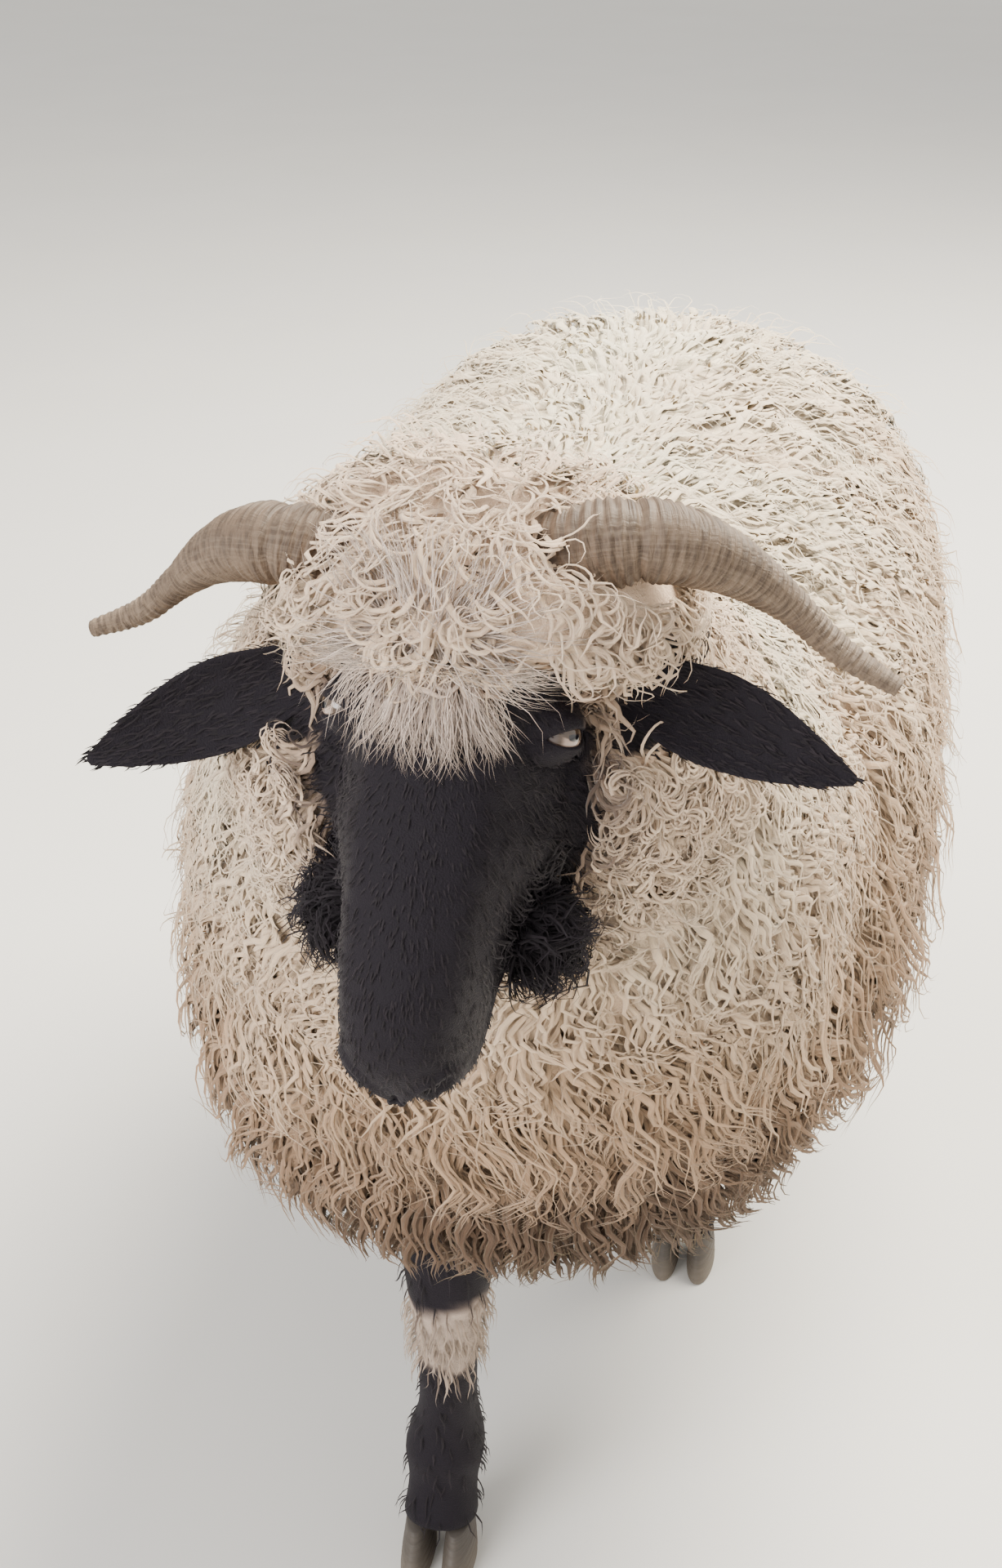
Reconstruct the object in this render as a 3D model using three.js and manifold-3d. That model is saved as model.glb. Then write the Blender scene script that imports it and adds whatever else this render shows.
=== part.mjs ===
// A Valais Blacknose sheep standing in mid-stride, life size, as a still model.
// Millimetres, +Z up. The sheep faces -Y, its left side is +X, and its four feet stand on z = 0.
import * as THREE from "three";
import { mergeVertices } from "three/addons/utils/BufferGeometryUtils.js";
import Module from "manifold-3d";

const wasm = await Module();
wasm.setup();

// Driving sizes
const GAP = 0.35; // clearance kept between touching nodes
const RISE = 48; // how far the clumps stand out of the woolly core
const SAG = 0.1; // how far the tip of a hanging clump sinks, as a share of its length
const SEED = 11;
const BODY_CLUMP = { spacing: 138, length: 196, width: 158, rise: 1.15 * RISE };
const CAP_DEPTH = 22; // the clumps on the head stand out of a core this far in
const CAP_CLUMP = { spacing: 66, length: 92, width: 74, rise: 1.35 * CAP_DEPTH };
const TAIL_CLUMP = { length: 95, width: 60, rise: 13 };
const EYE_RADIUS = 13;
const EYE_HALF_SPAN = 54; // from the midline to an eye's centre
const HORN_RINGS = 11;
const HOOF_HEIGHT = 40;
const CLAW_GAP = 5;
const CLAW_LENGTH = 70;
const CLAW_WIDTH = 27;

// Colours and finishes, one material for each
const finish = (color, roughness) => new THREE.MeshStandardMaterial({ color, roughness, metalness: 0 });
const wool = finish(0xcbbda6, 0.95);
const blackHair = finish(0x1b171b, 0.85);
const legHair = finish(0xb9aa95, 0.95);
const hornSheath = finish(0x7d6c5d, 0.6);
const hoofHorn = finish(0x2b2725, 0.55);
const eyeGlass = finish(0x3a2412, 0.12);

const sheep = new THREE.Group();
const v = (x, y, z) => new THREE.Vector3(x, y, z);

// A repeatable stream of numbers from 0 to 1.
function stream(seed) {
  let state = seed;
  return () => {
    state = (state * 16807) % 2147483647;
    return state / 2147483647;
  };
}

// Solids and nodes

function solid(geometry) {
  geometry.deleteAttribute("normal");
  geometry.deleteAttribute("uv");
  const merged = mergeVertices(geometry, 1e-3);
  const vertProperties = merged.attributes.position.array;
  const triVerts = new Uint32Array(merged.index.array);
  return new wasm.Manifold(new wasm.Mesh({ numProp: 3, vertProperties, triVerts }));
}

const join = (solids) => wasm.Manifold.union(solids);

// The largest closed surface of a solid.
function largest(body) {
  return body.decompose().reduce((a, b) => (b.volume() > a.volume() ? b : a));
}

function addNode(name, body, material) {
  const { numProp, vertProperties, triVerts } = largest(body).getMesh();
  const geometry = new THREE.BufferGeometry();
  geometry.setAttribute("position", new THREE.BufferAttribute(vertProperties, numProp));
  geometry.setIndex(new THREE.BufferAttribute(triVerts, 1));
  geometry.computeVertexNormals();
  const mesh = new THREE.Mesh(geometry, material);
  mesh.name = name;
  sheep.add(mesh);
}

// What lies on the side of a plane that its normal points to, half a gap clear of the plane.
const ahead = (body, normal, point) => {
  const n = normal.clone().normalize();
  return body.trimByPlane(n.toArray(), n.dot(point) + GAP / 2);
};
const behind = (body, normal, point) => ahead(body, normal.clone().negate(), point);

// Shapes

// A closed surface of rings between two poles. place(turn, ring) gives the point at that angle on
// a ring from 1 to rings, and the two poles at ring 0 and ring rings + 1.
function ringed(sides, rings, place) {
  const geometry = new THREE.SphereGeometry(1, sides, rings + 1);
  const position = geometry.attributes.position;
  for (let i = 0; i < position.count; i++) {
    const ring = Math.floor(i / (sides + 1));
    const side = (i % (sides + 1)) % sides;
    const p = place((2 * Math.PI * side) / sides, ring);
    position.setXYZ(i, p.x, p.y, p.z);
  }
  return solid(geometry);
}

function ellipsoid(centre, a, b, c, sides = 12, rings = 7) {
  return ringed(sides, rings, (turn, ring) => {
    const polar = (Math.PI * ring) / (rings + 1);
    return centre
      .clone()
      .addScaledVector(a, -Math.cos(turn) * Math.sin(polar))
      .addScaledVector(b, Math.cos(polar))
      .addScaledVector(c, Math.sin(turn) * Math.sin(polar));
  });
}

// A smooth value at s through rows that each start with their own s.
function smooth(rows, s) {
  const last = rows.length - 1;
  const x = Math.min(Math.max(s, rows[0][0]), rows[last][0]);
  let i = 0;
  while (i < last - 1 && rows[i + 1][0] < x) i++;
  const [p1, p2] = [rows[i], rows[i + 1]];
  const [p0, p3] = [rows[Math.max(i - 1, 0)], rows[Math.min(i + 2, last)]];
  const h = p2[0] - p1[0];
  const t = (x - p1[0]) / h;
  return p1.slice(1).map((value, k) => {
    const j = k + 1;
    const m1 = ((p2[j] - p0[j]) / Math.max(p2[0] - p0[0], 1e-9)) * h;
    const m2 = ((p3[j] - p1[j]) / Math.max(p3[0] - p1[0], 1e-9)) * h;
    const [t2, t3] = [t * t, t * t * t];
    const start = (2 * t3 - 3 * t2 + 1) * value + (t3 - 2 * t2 + t) * m1;
    return start + (3 * t2 - 2 * t3) * p2[j] + (t3 - t2) * m2;
  });
}

const bent = (value, power) => Math.sign(value) * Math.abs(value) ** (2 / power);

// A straight stretch of the body. Its rows are [s, top, bottom, half width], measured from its
// origin along its axis (s) and towards its back (top and bottom), and may end with a shift to the
// side. belly is the share of the depth at which it is widest, and power rounds (2) or squares
// (above 2) its section. inset draws the whole surface in.
class Stretch {
  constructor({ origin, axis, back, rows, belly = 0.46, power = 2.2, narrow = 0 }) {
    this.axis = axis.clone().normalize();
    this.back = back.clone().addScaledVector(this.axis, -back.dot(this.axis)).normalize();
    this.side = this.back.clone().cross(this.axis);
    Object.assign(this, { origin, rows, belly, power, narrow });
    this.start = rows[0][0];
    this.end = rows[rows.length - 1][0];
  }

  section(s, inset) {
    const span = this.end - this.start;
    const middle = (this.start + this.end) / 2;
    const stretched = middle + ((s - middle) * span) / (span - 2 * inset);
    const [top, bottom, half, shift = 0] = smooth(this.rows, stretched);
    const mid = bottom + (top - bottom) * this.belly;
    const least = 1;
    const up = Math.max(top - mid - inset, least);
    const down = Math.max(mid - bottom - inset, least);
    return { mid, up, down, half: Math.max(half - inset, least), shift };
  }

  at(turn, s, inset = 0) {
    const { mid, up, down, half, shift } = this.section(s, inset);
    const c = bent(-Math.cos(turn), this.power);
    const b = bent(Math.sin(turn), this.power);
    const width = half * c * (1 - this.narrow * b);
    const height = mid + b * (b > 0 ? up : down);
    return this.origin
      .clone()
      .addScaledVector(this.axis, s)
      .addScaledVector(this.side, shift + width)
      .addScaledVector(this.back, height);
  }

  outward(turn, s, inset) {
    const dTurn = this.at(turn + 0.02, s, inset).sub(this.at(turn - 0.02, s, inset));
    const dS = this.at(turn, s + 2, inset).sub(this.at(turn, s - 2, inset));
    return dTurn.cross(dS).normalize().negate();
  }

  holds(p, inset) {
    const q = p.clone().sub(this.origin);
    const s = q.dot(this.axis);
    if (s < this.start + inset || s > this.end - inset) return false;
    const { mid, up, down, half, shift } = this.section(s, inset);
    const b = q.dot(this.back) - mid;
    const x = Math.abs(q.dot(this.side) - shift) / half;
    return x ** this.power + Math.abs(b / (b > 0 ? up : down)) ** this.power < 1;
  }

  solid(sides, rings, inset = 0) {
    const [from, to] = [this.start + inset, this.end - inset];
    return ringed(sides, rings, (turn, ring) => {
      const share = (1 - Math.cos((Math.PI * ring) / (rings + 1))) / 2;
      const s = from + (to - from) * share;
      if (ring > 0 && ring <= rings) return this.at(turn, s, inset);
      const { mid, shift } = this.section(s, inset);
      const pole = this.origin.clone().addScaledVector(this.axis, s).addScaledVector(this.back, mid);
      return pole.addScaledVector(this.side, shift);
    });
  }
}

// A limb or horn: rings along a smooth line. rows are [share of the line, half width, half depth].
// across is the direction of the half width. swell adds to both halves and to the two ends.
function alongLine(points, across, rows, { sides = 10, rings = 6, swell = 0, power = 2 }) {
  const line = new THREE.CatmullRomCurve3(points, false, "centripetal");
  return ringed(sides, rings, (turn, ring) => {
    const t = Math.min(Math.max((ring - 1) / (rings - 1), 0), 1);
    const along = line.getTangentAt(t);
    const past = t === 1 ? swell : t === 0 ? -swell : 0;
    const at = line.getPointAt(t).addScaledVector(along, past);
    if (ring === 0 || ring === rings + 1) return at;
    const a = across.clone().addScaledVector(along, -across.dot(along)).normalize();
    const b = along.clone().cross(a);
    const [half, deep] = smooth(rows, t);
    return at
      .addScaledVector(a, bent(-Math.cos(turn), power) * (half + swell))
      .addScaledVector(b, bent(Math.sin(turn), power) * (deep + swell));
  });
}

// A clump of wool: it starts inside its core, rises, and lies over along lie with a rounded tip.
// rise is how far its back stands out of the core, and curl bends its tip to the side.
function clump({ root, outward, lie, length, width, rise, curl = 0, swell = 0 }) {
  const along = lie.clone().addScaledVector(outward, -lie.dot(outward)).normalize();
  const across = outward.clone().cross(along);
  const thick = rise * 0.5;
  const droop = SAG * length * (1 - Math.max(outward.z, 0));
  // [place along, height, sideways, half width, half depth]
  const rings = [
    [-0.12, 0.3, 0, 1, 1.25],
    [0.3, 0.5, 0.8, 0.64, 0.9],
  ];
  const last = rings.length;
  return ringed(5, last, (turn, ring) => {
    const [share, height, sideways, half, deep] = rings[Math.min(Math.max(ring - 1, 0), last - 1)];
    const past = ring > last ? 0.22 * length + swell : ring === 0 ? -0.4 * length - swell : 0;
    const sunk = ring === 0 ? 0.9 * rise : 0;
    const at = root
      .clone()
      .addScaledVector(along, share * length + past)
      .addScaledVector(outward, height * rise - sunk)
      .addScaledVector(across, sideways * curl);
    if (ring >= last) at.z -= droop;
    if (ring === 0 || ring > last) return at;
    return at
      .addScaledVector(across, -Math.cos(turn) * ((half * width) / 2 + swell))
      .addScaledVector(outward, Math.sin(turn) * (deep * thick + swell));
  });
}

// A flat, tapered lock through three points, lying on a surface that faces outward.
function lock(from, middle, to, outward, width, thick, swell = 0) {
  const path = new THREE.QuadraticBezierCurve3(from, middle, to);
  const shares = [0.25, 0.7];
  const sizes = [1, 0.7];
  return ringed(4, shares.length, (turn, ring) => {
    const i = Math.min(Math.max(ring - 1, 0), shares.length - 1);
    const t = ring > shares.length ? 1 : ring === 0 ? 0 : shares[i];
    const at = path.getPoint(t);
    const along = path.getTangent(t);
    if (ring === 0) return at.addScaledVector(along, -swell);
    if (ring > shares.length) return at.addScaledVector(along, swell);
    const across = outward.clone().cross(along).normalize();
    const out = along.clone().cross(across);
    return at
      .addScaledVector(across, -Math.cos(turn) * ((sizes[i] * width) / 2 + swell))
      .addScaledVector(out, Math.sin(turn) * ((sizes[i] * thick) / 2 + swell));
  });
}

// Places set evenly over a stretch, at a depth inside its outline: each with its root and outward.
function spread(stretch, inset, spacing, random) {
  const places = [];
  const step = 4;
  let walked = spacing * 0.4;
  let odd = 0;
  let before = null;
  for (let s = stretch.start + inset + step; s < stretch.end - inset - 1; s += step) {
    const { half, up } = stretch.section(s, inset);
    const size = (half + up) / 2;
    if (before !== null) walked += Math.hypot(step, size - before);
    before = size;
    if (walked < spacing * 0.87) continue;
    walked -= spacing * 0.87;
    odd = 1 - odd;
    places.push(...around(stretch, s, inset, spacing, odd / 2, random));
  }
  return places;
}

// Places set evenly round one section of a stretch.
function around(stretch, s, inset, spacing, shift, random) {
  const samples = 90;
  const lengths = [0];
  for (let i = 1; i <= samples; i++) {
    const [a, b] = [i - 1, i].map((k) => stretch.at((2 * Math.PI * k) / samples, s, inset));
    lengths.push(lengths[i - 1] + a.distanceTo(b));
  }
  const total = lengths[samples];
  const count = Math.max(3, Math.round(total / spacing));
  const places = [];
  for (let k = 0; k < count; k++) {
    const target = (((k + shift + 0.3 * (random() - 0.5)) / count) % 1) * total;
    const wanted = target < 0 ? target + total : target;
    const i = lengths.findIndex((length) => length >= wanted);
    const j = Math.max(i, 1);
    const part = (wanted - lengths[j - 1]) / (lengths[j] - lengths[j - 1]);
    const turn = (2 * Math.PI * (j - 1 + part)) / samples;
    places.push({ root: stretch.at(turn, s, inset), outward: stretch.outward(turn, s, inset), s, turn });
  }
  return places;
}

// One clump of a named size at a place, varied as real ones are.
function clumpAt(place, size, lie, random, swell = 0) {
  const vary = (share) => 1 + share * (random() - 0.5);
  const twist = 0.7 * (random() - 0.5);
  return clump({
    root: place.root,
    outward: place.outward,
    lie: lie.clone().applyAxisAngle(place.outward, twist),
    length: size.length * vary(0.3),
    width: size.width * vary(0.2),
    rise: size.rise * vary(0.2),
    curl: size.width * 0.5 * (random() - 0.5),
    swell,
  });
}

// The outline of the fleece, out to its tips

const torso = new Stretch({
  origin: v(0, 0, 0),
  axis: v(0, 1, 0),
  back: v(0, 0, 1),
  rows: [
    [-350, 480, 420, 20, 30],
    [-335, 590, 345, 115, 30],
    [-290, 700, 285, 188, 30],
    [-200, 780, 258, 247, 27],
    [-100, 812, 252, 276, 19],
    [60, 810, 262, 286, 7],
    [220, 806, 276, 282, 0],
    [360, 806, 292, 282, -2],
    [460, 795, 320, 274, 0],
    [540, 750, 372, 228, 0],
    [585, 670, 455, 140, 0],
    [600, 590, 530, 20, 0],
  ],
});

const neck = new Stretch({
  origin: v(0, -120, 600),
  axis: v(0, -0.78, 0.62),
  back: v(0, 0.62, 0.78),
  rows: [
    [-60, 150, -250, 140, -22],
    [0, 190, -290, 226, -22],
    [100, 172, -270, 224, -18],
    [200, 145, -215, 196, -12],
    [290, 122, -165, 166, -6],
    [370, 112, -130, 138, -3],
    [430, 70, -90, 90, 0],
    [445, 20, -40, 20, 0],
  ],
  belly: 0.5,
});

// The head. s runs down the face from eye level, and top is measured off the forehead's line.
// It is turned a little to the sheep's right.
const FACE_LINE = THREE.MathUtils.degToRad(60);
const HEAD_TURN = -0.06;
const HEAD_LEAN = 0.06;
const headTurn = new THREE.Quaternion().setFromEuler(new THREE.Euler(0, HEAD_LEAN, HEAD_TURN));
const faceDown = v(0, -Math.cos(FACE_LINE), -Math.sin(FACE_LINE)).applyQuaternion(headTurn);
const faceOut = v(0, -Math.sin(FACE_LINE), Math.cos(FACE_LINE)).applyQuaternion(headTurn);
const faceSide = faceOut.clone().cross(faceDown);
const FOREHEAD = v(-1, -518, 860);
const onHead = (x, s, out) =>
  FOREHEAD.clone().addScaledVector(faceSide, x).addScaledVector(faceDown, s).addScaledVector(faceOut, out);

const skull = new Stretch({
  origin: FOREHEAD,
  axis: faceDown,
  back: faceOut,
  rows: [
    [-118, -45, -95, 18],
    [-105, -22, -125, 44],
    [-70, -4, -150, 58],
    [-30, 2, -158, 64],
    [10, 0, -156, 64],
    [50, 2, -140, 58],
    [90, 4, -118, 48],
    [130, 2, -100, 42],
    [158, -4, -88, 37],
    [178, -14, -76, 31],
    [190, -30, -62, 19],
    [194, -42, -50, 8],
  ],
  belly: 0.5,
  power: 2.4,
  narrow: 0.08,
});

// Planes that part the body
const NECK_CUT = { point: v(0, -290, 560), normal: v(0, -0.72, 0.5) };
const HEAD_CUT = { point: v(0, -408, 862), normal: v(0, -0.86, 0.25) };
const TORSO_CUTS = [-75, 255];

// Legs. Every point is on a leg's own line, from inside the wool down to the coronet.
const KNEE_TOP = 318;
const KNEE_FOOT = 264;
const BAND_FOOT = 200;
const legs = [
  {
    name: "foreleg_right",
    line: [
      v(-66, -205, 400),
      v(-64, -268, 310),
      v(-64, -287, 262),
      v(-68, -288, 150),
      v(-72, -288, 100),
      v(-75, -303, HOOF_HEIGHT),
    ],
    hind: false,
  },
  {
    name: "foreleg_left",
    line: [
      v(82, -90, 400),
      v(82, -30, 310),
      v(83, -2, 262),
      v(84, 52, 150),
      v(84, 72, 100),
      v(84, 66, HOOF_HEIGHT),
    ],
    hind: false,
  },
  {
    name: "hindleg_right",
    line: [
      v(-92, 440, 400),
      v(-92, 500, 318),
      v(-92, 512, 270),
      v(-92, 512, 150),
      v(-92, 512, 100),
      v(-92, 496, HOOF_HEIGHT),
    ],
    hind: true,
  },
  {
    name: "hindleg_left",
    line: [
      v(92, 370, 400),
      v(92, 408, 318),
      v(92, 410, 270),
      v(90, 372, 150),
      v(90, 358, 100),
      v(90, 338, HOOF_HEIGHT),
    ],
    hind: true,
  },
];

const X = v(1, 0, 0);
const LEG_ROWS = [
  [0, 62, 66],
  [0.22, 50, 54],
  [0.36, 34, 37],
  [0.5, 27, 29],
  [0.72, 26, 28],
  [0.84, 31, 33],
  [0.93, 29, 31],
  [1, 30, 33],
];

const legSolid = (leg, swell = 0) =>
  alongLine(leg.line, X, LEG_ROWS, { swell, rings: 11, sides: 8, power: 2.2 });

// The centre and half width of a leg at a height.
function legAt(leg, height) {
  const line = new THREE.CatmullRomCurve3(leg.line, false, "centripetal");
  let [low, high] = [0, 1];
  while (high - low > 1e-4) {
    const t = (low + high) / 2;
    if (line.getPointAt(t).z > height) low = t;
    else high = t;
  }
  return { centre: line.getPointAt(low), half: smooth(LEG_ROWS, low)[0] };
}

// Locks that hang from the end of one piece of a leg over the top of the next.
function fringe(leg, height, { count, length, width, thick }, swell = 0) {
  const random = stream(SEED + Math.round(height) + Math.round(Math.abs(leg.line[0].y)));
  const locks = [];
  for (let i = 0; i < count; i++) {
    const turn = (2 * Math.PI * (i + 0.4 * random())) / count;
    const outward = v(Math.cos(turn), Math.sin(turn), 0);
    const point = (above, out) => {
      const { centre, half } = legAt(leg, height + above);
      return centre.addScaledVector(outward, half + out);
    };
    const hang = length * (0.75 + 0.5 * random());
    const [from, middle, to] = [point(0.6 * width, -5), point(-0.3 * hang, 5), point(-hang, 2)];
    locks.push(lock(from, middle, to, outward, width, thick, swell));
  }
  return join(locks);
}

const CANNON_LOCKS = { count: 5, length: 34, width: 25, thick: 8 };

// One claw: a long half oval on the ground, drawn in and set back at the coronet.
function claw(leg, outer) {
  const top = leg.line[leg.line.length - 1];
  const shift = outer * (CLAW_WIDTH / 2 + CLAW_GAP / 2);
  const rows = [
    [0, 1, -14],
    [0.12, 1, -13],
    [0.55, 0.9, -8],
    [1, 0.76, 0],
  ];
  return ringed(8, rows.length, (turn, ring) => {
    const row = rows[Math.min(Math.max(ring - 1, 0), rows.length - 1)];
    const [height, size, reach] = row;
    const centre = v(top.x + shift, top.y + reach, height * (HOOF_HEIGHT - GAP / 2));
    if (ring === 0 || ring === rows.length + 1) return centre;
    const length = (CLAW_LENGTH / 2) * size * (Math.sin(turn) < 0 ? 1.1 : 0.8);
    return centre.add(v(-Math.cos(turn) * (CLAW_WIDTH / 2) * size, Math.sin(turn) * length, 0));
  });
}

// Two small dewclaws behind the fetlock.
const DEWCLAW = { height: 106, aside: 14, behind: 27, half: 9, deep: 10, tall: 14 };
function dewclaws(leg) {
  const { height, aside, behind: back, half, deep, tall } = DEWCLAW;
  const { centre } = legAt(leg, height);
  return [-1, 1].map((hand) => {
    const at = centre.clone().add(v(hand * aside, back, -6));
    return ellipsoid(at, v(half, 0, 0), v(0, deep, 4), v(0, -4, tall), 5, 3);
  });
}

// Ears, from a leaf that cups round its own length
const ears = {
  right: { root: v(-74, -446, 854), tip: v(-204, -470, 798) },
  left: { root: v(74, -446, 857), tip: v(203, -466, 814) },
};

function ear({ root, tip }, swell = 0) {
  const along = tip.clone().sub(root).normalize();
  const front = v(0, -0.82, 0.25);
  front.addScaledVector(along, -front.dot(along)).normalize();
  const across = front.clone().cross(along);
  const length = root.distanceTo(tip);
  const rings = 8;
  const rows = [
    [0, 13, 0, 9],
    [0.14, 18, 8, 6],
    [0.4, 25, 8, 3.2],
    [0.62, 22, 6, 2.8],
    [0.85, 12, 2, 2.2],
    [1, 3, 0, 1.5],
  ];
  return ringed(14, rings, (turn, ring) => {
    const share = Math.min(Math.max((ring - 1) / (rings - 1), 0), 1);
    const t = share + (share > 0.5 ? 1 : -1) * (swell / length) * (share === 0 || share === 1);
    const [half, cup, deep] = smooth(rows, share);
    const at = root.clone().addScaledVector(along, t * length);
    if (ring === 0 || ring === rings + 1) return at.addScaledVector(front, -cup);
    const c = -Math.cos(turn);
    return at
      .addScaledVector(across, c * (half + swell))
      .addScaledVector(front, cup * (c * c - 1) + Math.sin(turn) * (deep + swell));
  });
}

// Horns: out from the poll, back and down, with a flat tip that flares
const HORN_LINE = [
  v(30, -449, 908),
  v(62, -463, 930),
  v(96, -460, 936),
  v(130, -443, 921),
  v(165, -424, 890),
  v(190, -424, 867),
  v(222, -429, 849),
];
const HORN_ROWS = [
  [0, 23, 25],
  [0.2, 22, 24],
  [0.42, 18, 20],
  [0.58, 13, 15],
  [0.72, 9, 11],
  [0.88, 6.5, 9.5],
  [1, 4.5, 6],
];
// The right horn hangs lower at its middle, and its tip ends nearer and higher.
const RIGHT_HORN = { sag: 12, nearer: 12, higher: 8 };

function horn(hand, swell = 0) {
  const { sag, nearer, higher } = hand < 0 ? RIGHT_HORN : { sag: 0, nearer: 0, higher: 0 };
  const span = HORN_LINE.at(-1).x;
  const line = HORN_LINE.map((p) => {
    const t = p.x / span;
    const x = p.x - nearer * t * t;
    const z = p.z - sag * Math.sin(Math.PI * t) + higher * t * t;
    return v(hand * x, p.y, z);
  });
  const rows = [];
  const steps = HORN_RINGS * 2;
  for (let i = 0; i <= steps; i++) {
    const t = i / steps;
    const [half, deep] = smooth(HORN_ROWS, t);
    const ridge = (i % 2 ? 1 : -1) * 0.022 * (1 - t);
    rows.push([t, half * (1 + ridge), deep * (1 + ridge)]);
  }
  return alongLine(line, v(0, 0, 1), rows, { sides: 8, rings: steps + 1, swell });
}

// Tail: a woolly length down the back of the hindquarters
const TAIL_LINE = [v(0, 525, 690), v(0, 562, 640), v(0, 575, 560), v(0, 573, 470), v(0, 562, 400)];
const TAIL_ROWS = [
  [0, 30, 22],
  [0.3, 42, 24],
  [0.7, 46, 26],
  [0.92, 34, 20],
  [1, 14, 10],
];
function tail(swell = 0) {
  const random = stream(SEED + 5);
  const pieces = [alongLine(TAIL_LINE, X, TAIL_ROWS, { sides: 10, rings: 7, swell })];
  const line = new THREE.CatmullRomCurve3(TAIL_LINE, false, "centripetal");
  const rows = 5;
  for (let row = 0; row < rows; row++) {
    const t = 0.1 + (0.75 * row) / (rows - 1);
    const root = line.getPointAt(t);
    root.x += row % 2 ? 9 : -9;
    root.y += 0.7 * smooth(TAIL_ROWS, t)[1];
    const place = { root, outward: v(0, 1, 0.15).normalize() };
    pieces.push(clumpAt(place, TAIL_CLUMP, v(0, 0, -1), random, 2 * swell));
  }
  return join(pieces);
}

// Eyes, lids and nostrils
const eyeCentre = (hand) => onHead(hand * EYE_HALF_SPAN, -3, -38);

// The directions of an eye: out of the head, forward along the lids, and up.
function eyeAxes(hand) {
  const out = v(hand, -0.55, 0.24).normalize();
  const fore = faceDown.clone().addScaledVector(out, -faceDown.dot(out)).normalize();
  return { out, fore, up: fore.clone().cross(out) };
}

const stretched = (centre, { out, fore, up }, a, b, c, sides, rings) =>
  ellipsoid(
    centre,
    fore.clone().multiplyScalar(a),
    out.clone().multiplyScalar(b),
    up.clone().multiplyScalar(c),
    sides,
    rings,
  );

// A ridge along the edge of a lid, over the eye (above = 1) or under it (above = -1).
function lidEdge(hand, above, swell) {
  const axes = eyeAxes(hand);
  const point = (fore, up, out) =>
    eyeCentre(hand)
      .addScaledVector(axes.fore, fore)
      .addScaledVector(axes.up, hand * above * up)
      .addScaledVector(axes.out, out);
  return lock(point(-20, 0, 7), point(0, 17, 17), point(20, 0, 7), axes.out, 6, 6, swell);
}

// A tuft of black wool stands out of each jaw: its place on the face and its half sizes.
const JAW_TUFT = { x: 48, s: 100, out: -84, across: 29, along: 33, deep: 25 };

function jawTufts(swell = 0) {
  const { x, s, out, across, along, deep } = JAW_TUFT;
  const tufts = [-1, 1].map((hand) =>
    ellipsoid(
      onHead(hand * x, s, out),
      faceSide.clone().multiplyScalar(across + swell),
      faceDown.clone().multiplyScalar(along + swell),
      faceOut.clone().multiplyScalar(deep + swell),
      12,
      6,
    ),
  );
  return join(tufts);
}

// Half sizes of the bulge of the lids along them, out of the head and up.
const LID = { along: 24, out: 17, up: 19, sunk: 3 };

// The head with the bulge of its lids, swell larger all round.
function headBulk(swell = 0) {
  const solids = [skull.solid(14, 11, -swell)];
  for (const hand of [-1, 1]) {
    const axes = eyeAxes(hand);
    const lid = eyeCentre(hand).addScaledVector(axes.out, -LID.sunk);
    solids.push(stretched(lid, axes, LID.along + swell, LID.out + swell, LID.up + swell, 12, 5));
    solids.push(lidEdge(hand, 1, swell), lidEdge(hand, -1, swell));
  }
  return join(solids);
}

// The line of the mouth runs under the nose from corner to corner, and in, out shift it.
function mouthLine(down, deep) {
  const side = [
    [-0.42, 116],
    [-0.5, 142],
    [-0.62, 166],
  ];
  const points = side.map(([turn, s]) => skull.at(turn, s, deep).addScaledVector(faceOut, -down));
  points.push(onHead(0, 187 - deep, -62 - down));
  for (const [turn, s] of side.reverse()) {
    points.push(skull.at(Math.PI - turn, s, deep).addScaledVector(faceOut, -down));
  }
  return points;
}

// A tube of an even thickness along a line, thinner at its two ends.
function tube(points, half, rings) {
  const thin = half / 2;
  const rows = [
    [0, thin, thin],
    [0.2, half, half],
    [0.8, half, half],
    [1, thin, thin],
  ];
  return alongLine(points, faceOut, rows, { sides: 4, rings });
}

const LIP = 6; // half thickness of a lip
const MOUTH_GROOVE = 1.8;

function head() {
  const adds = [tube(mouthLine(-5.5, 2.5), LIP, 6), tube(mouthLine(6, 3), LIP, 6)];
  const cuts = [tube(mouthLine(0, -0.5), MOUTH_GROOVE, 7)];
  for (const hand of [-1, 1]) {
    adds.push(ellipsoid(onHead(hand * 15, 177, -32), v(11, 0, 0), v(0, 9, 0), v(0, 0, 9), 8, 4));
    const axes = eyeAxes(hand);
    const slit = eyeCentre(hand).addScaledVector(axes.out, 12);
    cuts.push(stretched(slit, axes, 15, 12, 7.5, 10, 5));
    cuts.push(eyeball(hand, GAP));
    const nostril = onHead(hand * 15, 184, -33);
    cuts.push(ellipsoid(nostril, v(hand * 8, -2, -3), v(0, -4, -5), v(hand * 2, 3, 4), 8, 4));
  }
  return join([headBulk(), ...adds]).subtract(join(cuts)).add(jawTufts());
}

function eyeball(hand, swell = 0) {
  const radius = EYE_RADIUS + swell;
  return stretched(eyeCentre(hand), eyeAxes(hand), radius, radius, radius, 10, 5);
}

// The wool of the head: a cap over the poll and cheeks. Its front edge slopes back past the eyes.
const cap = new Stretch({
  origin: FOREHEAD,
  axis: faceDown,
  back: faceOut,
  rows: [
    [-146, -36, -100, 40],
    [-132, -8, -150, 80],
    [-104, 12, -180, 104],
    [-66, 34, -188, 116],
    [-28, 32, -180, 114],
    [-10, 12, -120, 80],
  ],
  belly: 0.5,
  power: 2.1,
});
const capEdge = faceDown.clone().multiplyScalar(-0.95).addScaledVector(faceOut, 0.31);
const CAP_FRONT = onHead(0, -26, 12);

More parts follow.
